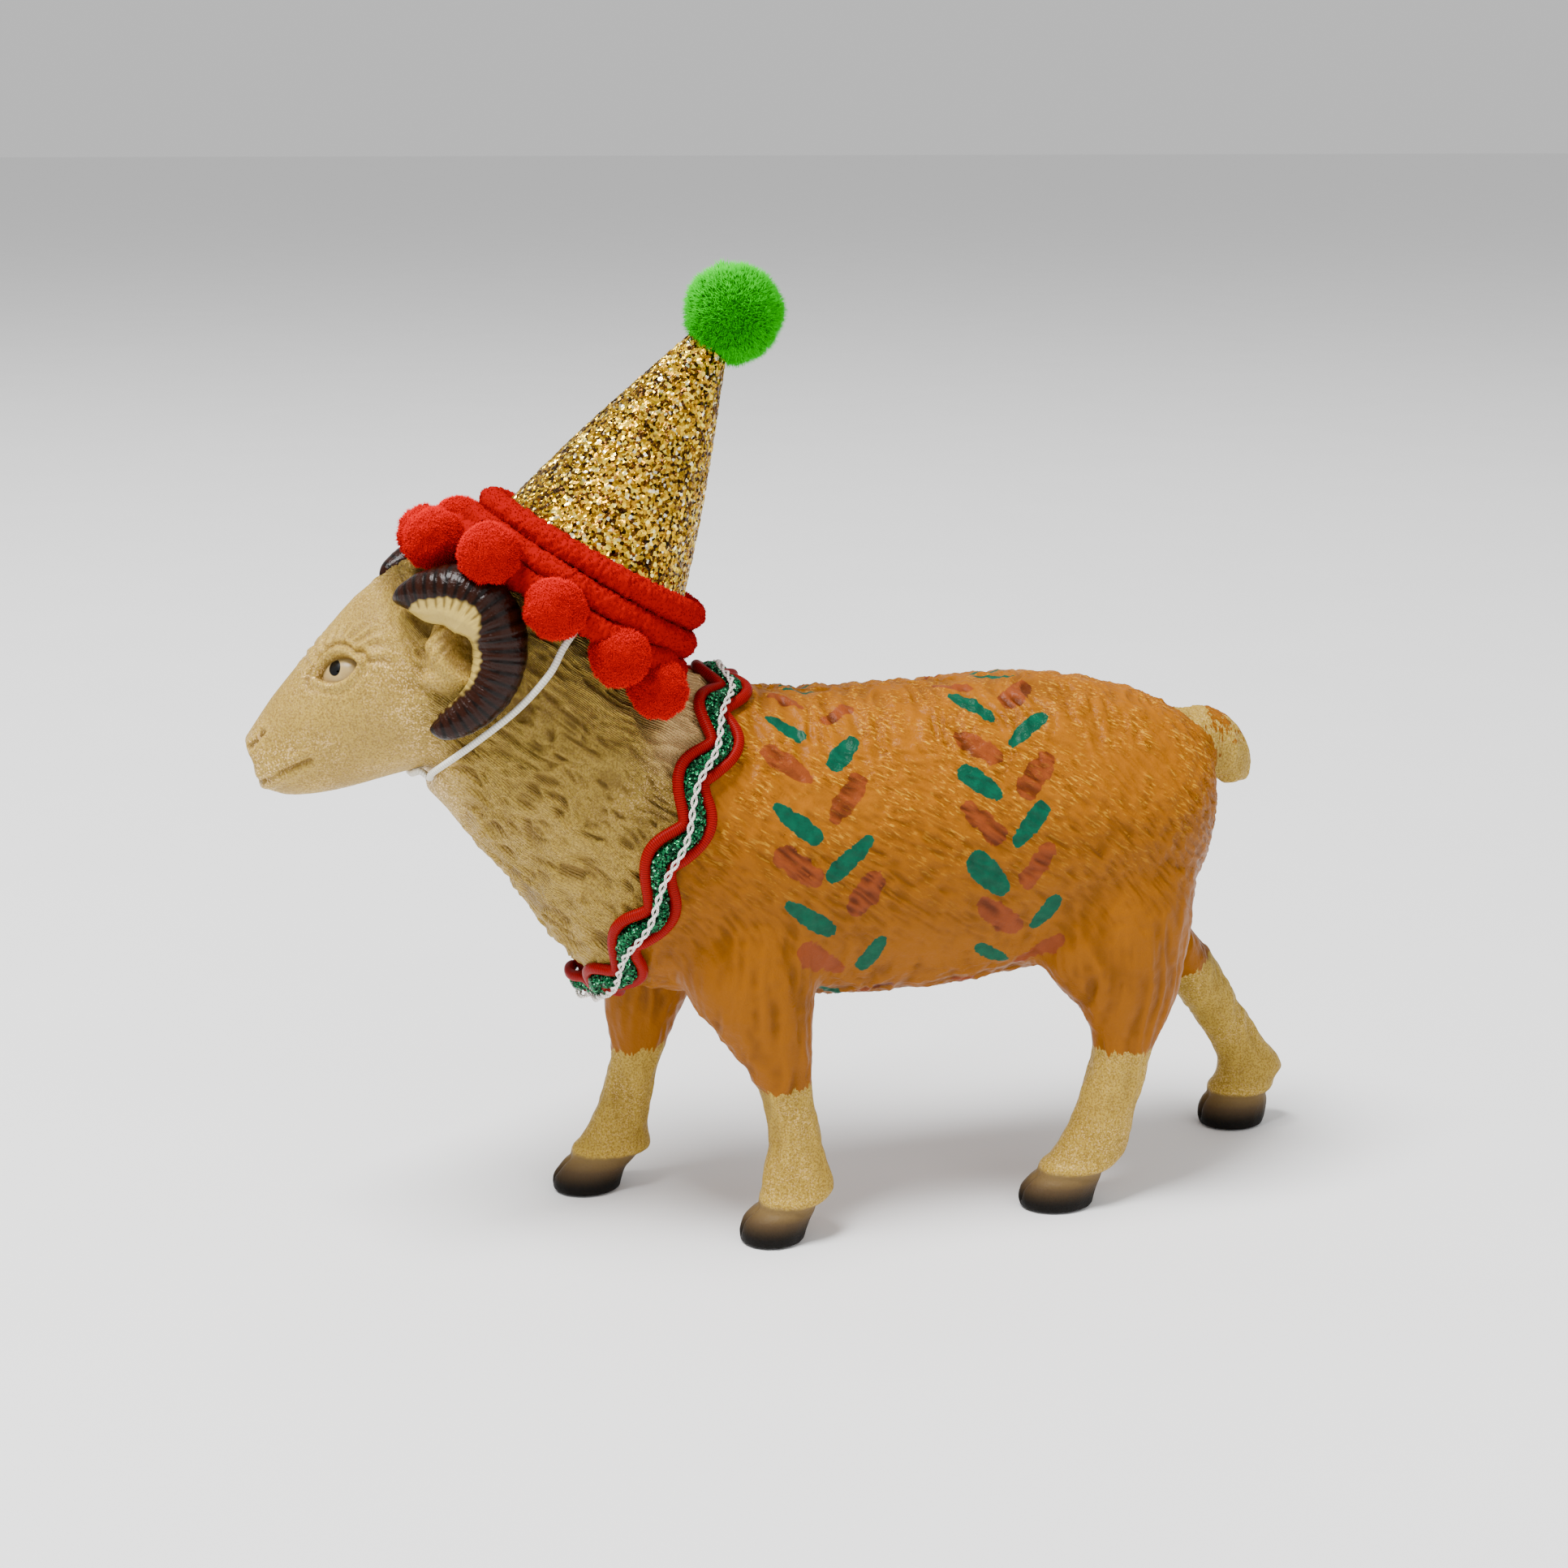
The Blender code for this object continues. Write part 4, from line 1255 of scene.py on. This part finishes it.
def lap(part):
    """How far the overlapping end is lifted to clear the one beneath."""
    return 2.3 * float(smooth(np.array(-part), 0.0, 0.02))


def wound_mesh(name, swept):
    """The mesh of a swept tube, with what a twist in its material reads."""
    points, faces, along, turns = swept
    mesh = build_mesh(name, points, faces)
    keep(mesh, along=along, cosine=np.cos(turns), sine=np.sin(turns))
    return mesh


def twisted(path, radius, pitch, phase):
    """The path of one strand that winds round another."""
    made = []
    for point, gone, side, other in carried(path):
        turn = phase + 2 * math.pi * gone / pitch
        made.append(point + (side * math.cos(turn) + other * math.sin(turn)) * radius)
    return made


def frayed_end(cotton):
    """Loose white threads at the collar's lapped end."""
    chance = np.random.default_rng(5)
    threads, start = [], 0
    for _ in range(14):
        across = chance.uniform(-3.4, 3.4)
        bends = chance.normal(0, 1.3, (2, 2))
        reach = chance.uniform(0.014, 0.03)
        path = []
        for step in range(14):
            part = step / 13
            stray = bends[0] * part**2 + bends[1] * math.sin(step / 4) * part / 2
            turn = collar_turn(-OVERLAP + 0.01 - reach * part)
            path.append(collar_point(turn, across + stray[0], 3.2 + abs(stray[1])))
        points, faces, along, turns = closed_tube(path, 0.11, 6)
        threads.append((points, faces + start, along, turns))
        start += len(points)
    joined = [np.concatenate(parts) for parts in zip(*threads)]
    place(wound_mesh("frayed_threads", joined), cotton, "ram", [])


def collar():
    """Two satin cords beside a tinsel one that wave together, and a white thread that snakes over them."""
    satin, cotton = satin_look(), thread_look()
    for name, offset in (("front", -COLLAR_SPACING), ("rear", COLLAR_SPACING)):
        path = [rickrack_point(part, offset, CORD_R + 0.3 + lap(part)) for part in round_parts(940)]
        mesh = wound_mesh("satin_cord_" + name, closed_tube(path, CORD_R, 20))
        place(mesh, satin, "ram", ["collar_cord_" + name])

    path = [rickrack_point(part, 0, BRAID_R + 0.1 + lap(part)) for part in round_parts(640)]
    points, faces, *_ = closed_tube(path, BRAID_R, 14)
    cell = np.round(points * 50).astype(np.int64)
    points += 0.3 * np.stack([lattice(cell, 5 + axis) for axis in range(3)], axis=1)
    mesh = build_mesh("tinsel_cord", points, faces)
    mesh.shade_flat()
    place(mesh, tinsel_look(), "ram", ["collar_braid"])

    path = []
    for part in round_parts(900):
        turn = collar_turn(part)
        snake = 0.6 * math.sin(2 * math.pi * COLLAR_WAVES * part + 0.9)
        snake += 0.4 * math.sin(2 * math.pi * 5.3 * part)
        out = 2 * BRAID_R + THREAD_R + 0.2 + lap(part)
        path.append(collar_point(turn, snake - COLLAR_BOW * math.cos(turn) ** 2, out))
    for name, phase, nodes in (("a", 0.0, ["collar_thread"]), ("b", math.pi, [])):
        strand = twisted(path, THREAD_R * 1.6, THREAD_PITCH, phase)
        mesh = wound_mesh("white_ply_" + name, closed_tube(strand, THREAD_R, 10))
        place(mesh, cotton, "ram", nodes)
    frayed_end(cotton)


# The hat


def to_ram(points):
    """Points of the hat's own frame, upright on its rim, placed on the ram."""
    matrix = np.array(Matrix.Translation(HAT_BASE) @ Matrix.Rotation(-HAT_LEAN, 4, "X"))
    return points @ matrix[:3, :3].T + matrix[:3, 3]


def round_hat(turn, reach, height):
    """Points in the hat's own frame: turned from its front, at a reach from its axis and at a height."""
    return np.stack(np.broadcast_arrays(reach * np.sin(turn), -reach * np.cos(turn), height), axis=-1)


def hat_radius(height):
    """Radius of the card's outer face."""
    part = np.clip(height / HAT_HEIGHT, 0, 1)
    return HAT_RIM_R + (HAT_TIP_R - HAT_RIM_R) * part + HAT_BULGE * np.sin(math.pi * part)


def rim_drop(back):
    """The rim and its trim hang lower towards the back."""
    return -0.085 * (back + HAT_RIM_R)


def rings_mesh(name, rings):
    """A mesh through rings of equally many points, closed round, and from the last ring to the first."""
    rows, around, _ = rings.shape
    return build_mesh(name, rings.reshape(-1, 3), quads(rows, around, cyclic=True))


def hat_card():
    """The glittered cone: its outer face has flakes at their own heights, and its inner face is bare card."""
    around, rows = 480, 200
    heights = HAT_HEIGHT * (np.arange(rows) / (rows - 1))
    height, turn = np.meshgrid(heights, even_turns(around), indexing="ij")
    points = round_hat(turn, hat_radius(height), height)
    points[..., 2] += (1 - smooth(height, 0, 8)) * rim_drop(points[..., 1])
    flat = points.reshape(-1, 3)
    gap, chosen = cells(flat, 0.62, 101)
    lift = (0.16 * chosen + 0.06 * smooth(gap, 0, 0.3)).reshape(height.shape)
    lift += 0.25 * noise(flat * [1, 1, 0.3], 2.4, 103).reshape(height.shape) * smooth(height, 40, 53)
    outward = round_hat(turn, 1, 0.33)
    outer = points + outward * lift[..., None]
    inner = (points - outward * CARD)[::-20]
    rings = to_ram(np.concatenate([outer, inner]).reshape(-1, 3)).reshape(-1, around, 3)
    mesh = rings_mesh("glitter_hat", rings)
    place(mesh, glitter_look(), "hat", ["hat_cone"])
    mesh.materials.append(card_look())
    inside = np.repeat(np.arange(len(rings)) >= rows, around)
    mesh.polygons.foreach_set("material_index", inside.astype(np.int32))


def fuzz(name, points, faces, normals, fibres, seed):
    """A mesh of triangles: a base with closed fibres that stand on it, each a thin pyramid. fibres holds
    their number, length and width."""
    count, length, width = fibres
    chance = np.random.default_rng(seed)
    faces = np.concatenate([faces[:, [0, 1, 2]], faces[:, [0, 2, 3]]])
    corners = points[faces]
    area = np.linalg.norm(np.cross(corners[:, 1] - corners[:, 0], corners[:, 2] - corners[:, 0]), axis=1)
    chosen = chance.choice(len(faces), count, p=area / area.sum())
    mixed = chance.dirichlet((1, 1, 1), count)
    root = np.einsum("nk,nkd->nd", mixed, corners[chosen])
    up = np.einsum("nk,nkd->nd", mixed, normals[faces[chosen]])
    lean = up + chance.normal(0, 0.38, (count, 3))
    lean /= np.linalg.norm(lean, axis=1, keepdims=True)
    reach = length * chance.uniform(0.55, 1.15, (count, 1))
    side = np.cross(lean, chance.normal(0, 1, (count, 3)))
    side /= np.linalg.norm(side, axis=1, keepdims=True)
    other = np.cross(lean, side)
    base = root - up * 0.15
    feet = [base + width * (side * math.cos(turn) + other * math.sin(turn)) for turn in even_turns(3)]
    spikes = np.stack([*feet, base + lean * reach], axis=1).reshape(-1, 3)
    start = len(points) + 4 * np.arange(count)[:, None]
    sides = np.concatenate([start + [0, 1, 3], start + [1, 2, 3], start + [2, 0, 3], start + [0, 2, 1]])
    mesh = build_mesh(name, np.concatenate([points, spikes]), np.concatenate([faces, sides]))
    keep(mesh, reach=np.concatenate([np.full(len(points), 0.15), np.tile([0.1, 0.1, 0.1, 1.0], count)]))
    return mesh


def nubby_ball(name, centre, radius, grid, nub, fibres, seed):
    """A plush ball whose core has nubs of this height."""
    ball, faces = ball_grid(*grid)
    reach = radius + nub * noise(ball * radius + seed * 3.7, radius * 0.3, seed)
    reach += nub * 0.5 * noise(ball * radius + seed * 1.3, radius * 0.12, seed + 1)
    points = to_ram(np.array(centre) + ball * reach[:, None])
    normals = to_ram(ball) - to_ram(ball * 0)
    return fuzz(name, points, faces, normals, fibres, seed)


def pompom():
    """The lime-green pompom on the hat's tip."""
    look = plush_look("lime_plush", colour(0, 120, 0), colour(0, 205, 0), colour(60, 255, 0))
    mesh = nubby_ball("plush_pompom", POMPOM_AT, POMPOM_R - 1.3, (96, 64), 0.5, POMPOM_FIBRES, 7)
    place(mesh, look, "hat", ["hat_pompom"])


def chenille(row, look):
    """One nubby row of chenille round the rim, swollen in the lowest row where the fringe's balls hang."""
    around, ring = 620, 26
    tilt, turn = np.meshgrid(even_turns(ring), even_turns(around), indexing="xy")
    height = TRIM_DROP + TRIM_PITCH * row
    middle = round_hat(turn, hat_radius(max(height, 0)) + TRIM_R + 0.1, height)
    middle[..., 2] += rim_drop(middle[..., 1]) * (1 - 0.36 * row)
    out = round_hat(turn, np.cos(tilt), np.sin(tilt))
    gap, chosen = cells((middle + out * TRIM_R).reshape(-1, 3), 1.25, 111 + row)
    size = TRIM_R * 0.95 + 0.4 * smooth(gap, 0, 0.55) + 0.14 * chosen
    size += (0.35 * smooth(middle[..., 1], -5, 20)).ravel()
    for ball_turn, *_ in BALLS if row == 0 else []:
        away = (turn - math.radians(ball_turn) + math.pi) % (2 * math.pi) - math.pi
        size += (1.2 * bell(away, 0.13)).ravel()
    points = to_ram(middle.reshape(-1, 3) + out.reshape(-1, 3) * size[:, None])
    core = rings_mesh("trim_core", points.reshape(around, ring, 3))
    name = f"plush_trim_{row + 1}"
    mesh = fuzz(name, points, mesh_quads(core), mesh_normals(core), CHENILLE_FIBRES, 31 + row)
    bpy.data.meshes.remove(core)
    place(mesh, look, "hat", [f"trim_braid_{row + 1}"])


def trim():
    """Three rows of red chenille round the rim, and the balls of the fringe."""
    look = plush_look("red_plush", colour(140, 0, 2), colour(225, 0, 10), colour(255, 0, 16))
    for row in range(3):
        chenille(row, look)
    for number, (turn, reach, height) in enumerate(BALLS, 1):
        centre = round_hat(math.radians(turn), reach, height)
        name = f"plush_ball_{number}"
        mesh = nubby_ball(name, centre, BALL_R - 0.2, (56, 40), 0.45, BALL_FIBRES, 50 + number)
        place(mesh, look, "hat", [f"trim_ball_{number}"])


def on_throat(point, skin):
    """The strap's point drawn onto the skin where it runs under the throat."""
    found, normal, _, gap = skin.find_nearest(point * MM)
    lying = found / MM + normal * (ELASTIC_R + 0.1)
    share = float(smooth(np.array(abs(point.x)), 13, 7)) if gap < 4 * MM else 0
    return point.lerp(lying, share)


def chin_strap(head):
    """White elastic from one side of the rim, under the throat, to the other."""
    half = spread(STRAP, 200)
    line = half + [(-x, y, z) for x, y, z in reversed(half[:-1])]
    skin = skin_tree(head.data)
    path = [on_throat(Vector((x, y + SHIFT_Y, z)), skin) for x, y, z in line]
    mesh = wound_mesh("braided_elastic", closed_tube(path, ELASTIC_R, 16))
    mesh.materials.append(elastic_look())
    piece = add("braided_elastic", mesh)
    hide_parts("chin_elastic")
    throat, rim = path[len(half) - 1], (path[0] + path[-1]) / 2
    [c * MM for c in throat]
    [c * MM for c in rim]
    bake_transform(piece)


# The set


def studio():
    """The camera, a white floor, a key light from above and the left, and a weak fill."""
    level = Vector((math.sin(VIEW_AZIMUTH), -math.cos(VIEW_AZIMUTH), 0))
    back = level * math.cos(VIEW_ELEVATION) + Vector((0, 0, math.sin(VIEW_ELEVATION)))
    right = Vector((math.cos(VIEW_AZIMUTH), math.sin(VIEW_AZIMUTH), 0))
    turned = Matrix((right, back.cross(right), back)).transposed().to_4x4()
    camera = add("camera", bpy.data.cameras.new("camera"))
    camera.data.sensor_width = 36
    camera.data.lens = 58.23
    camera.matrix_world = Matrix.Translation(VIEW_TARGET + back * VIEW_DISTANCE) @ turned
    bpy.context.scene.camera = camera

    floor_mesh = bpy.data.meshes.new("floor")
    builder = bmesh.new()
    bmesh.ops.create_grid(builder, x_segments=2, y_segments=2, size=20)
    builder.to_mesh(floor_mesh)
    builder.free()
    floor = add("floor", floor_mesh)
    floor.location.z = -0.0002
    paper = Look("white_paper", roughness=0.9)
    paper.drive("Base Color", paper.mix(paper.noise(60, 2), (0.86, 0.86, 0.86), (0.9, 0.9, 0.9)))
    floor_mesh.materials.append(paper.material)

    for name, offset, watts in (
        ("key", back * 0.5 - right * 0.6 + Vector((0, 0, 1.75)), 96.0),
        ("fill", back * 0.7 + right * 0.5 + Vector((0, 0, 0.25)), 2.5),
    ):
        light = bpy.data.lights.new(name, "AREA")
        light.size = 0.8
        light.energy = watts
        lamp = add(name, light)
        lamp.location = VIEW_TARGET + offset
        lamp.rotation_euler = offset.to_track_quat("Z", "Y").to_euler()

    world = bpy.data.worlds.new("studio")
    world.use_nodes = True
    background = world.node_tree.nodes["Background"].inputs
    background["Color"].default_value = (1, 1, 1, 1)
    background["Strength"].default_value = 0.68
    bpy.context.scene.world = world


studio()
EYE_LOOK = eyeball_look()
HORN_LOOK = horn_look()
ram_body()
head = ram_head()
for side in (1, -1):
    eyeball(side)
    horn(side)
collar()
hat_card()
trim()
pompom()
chin_strap(head)
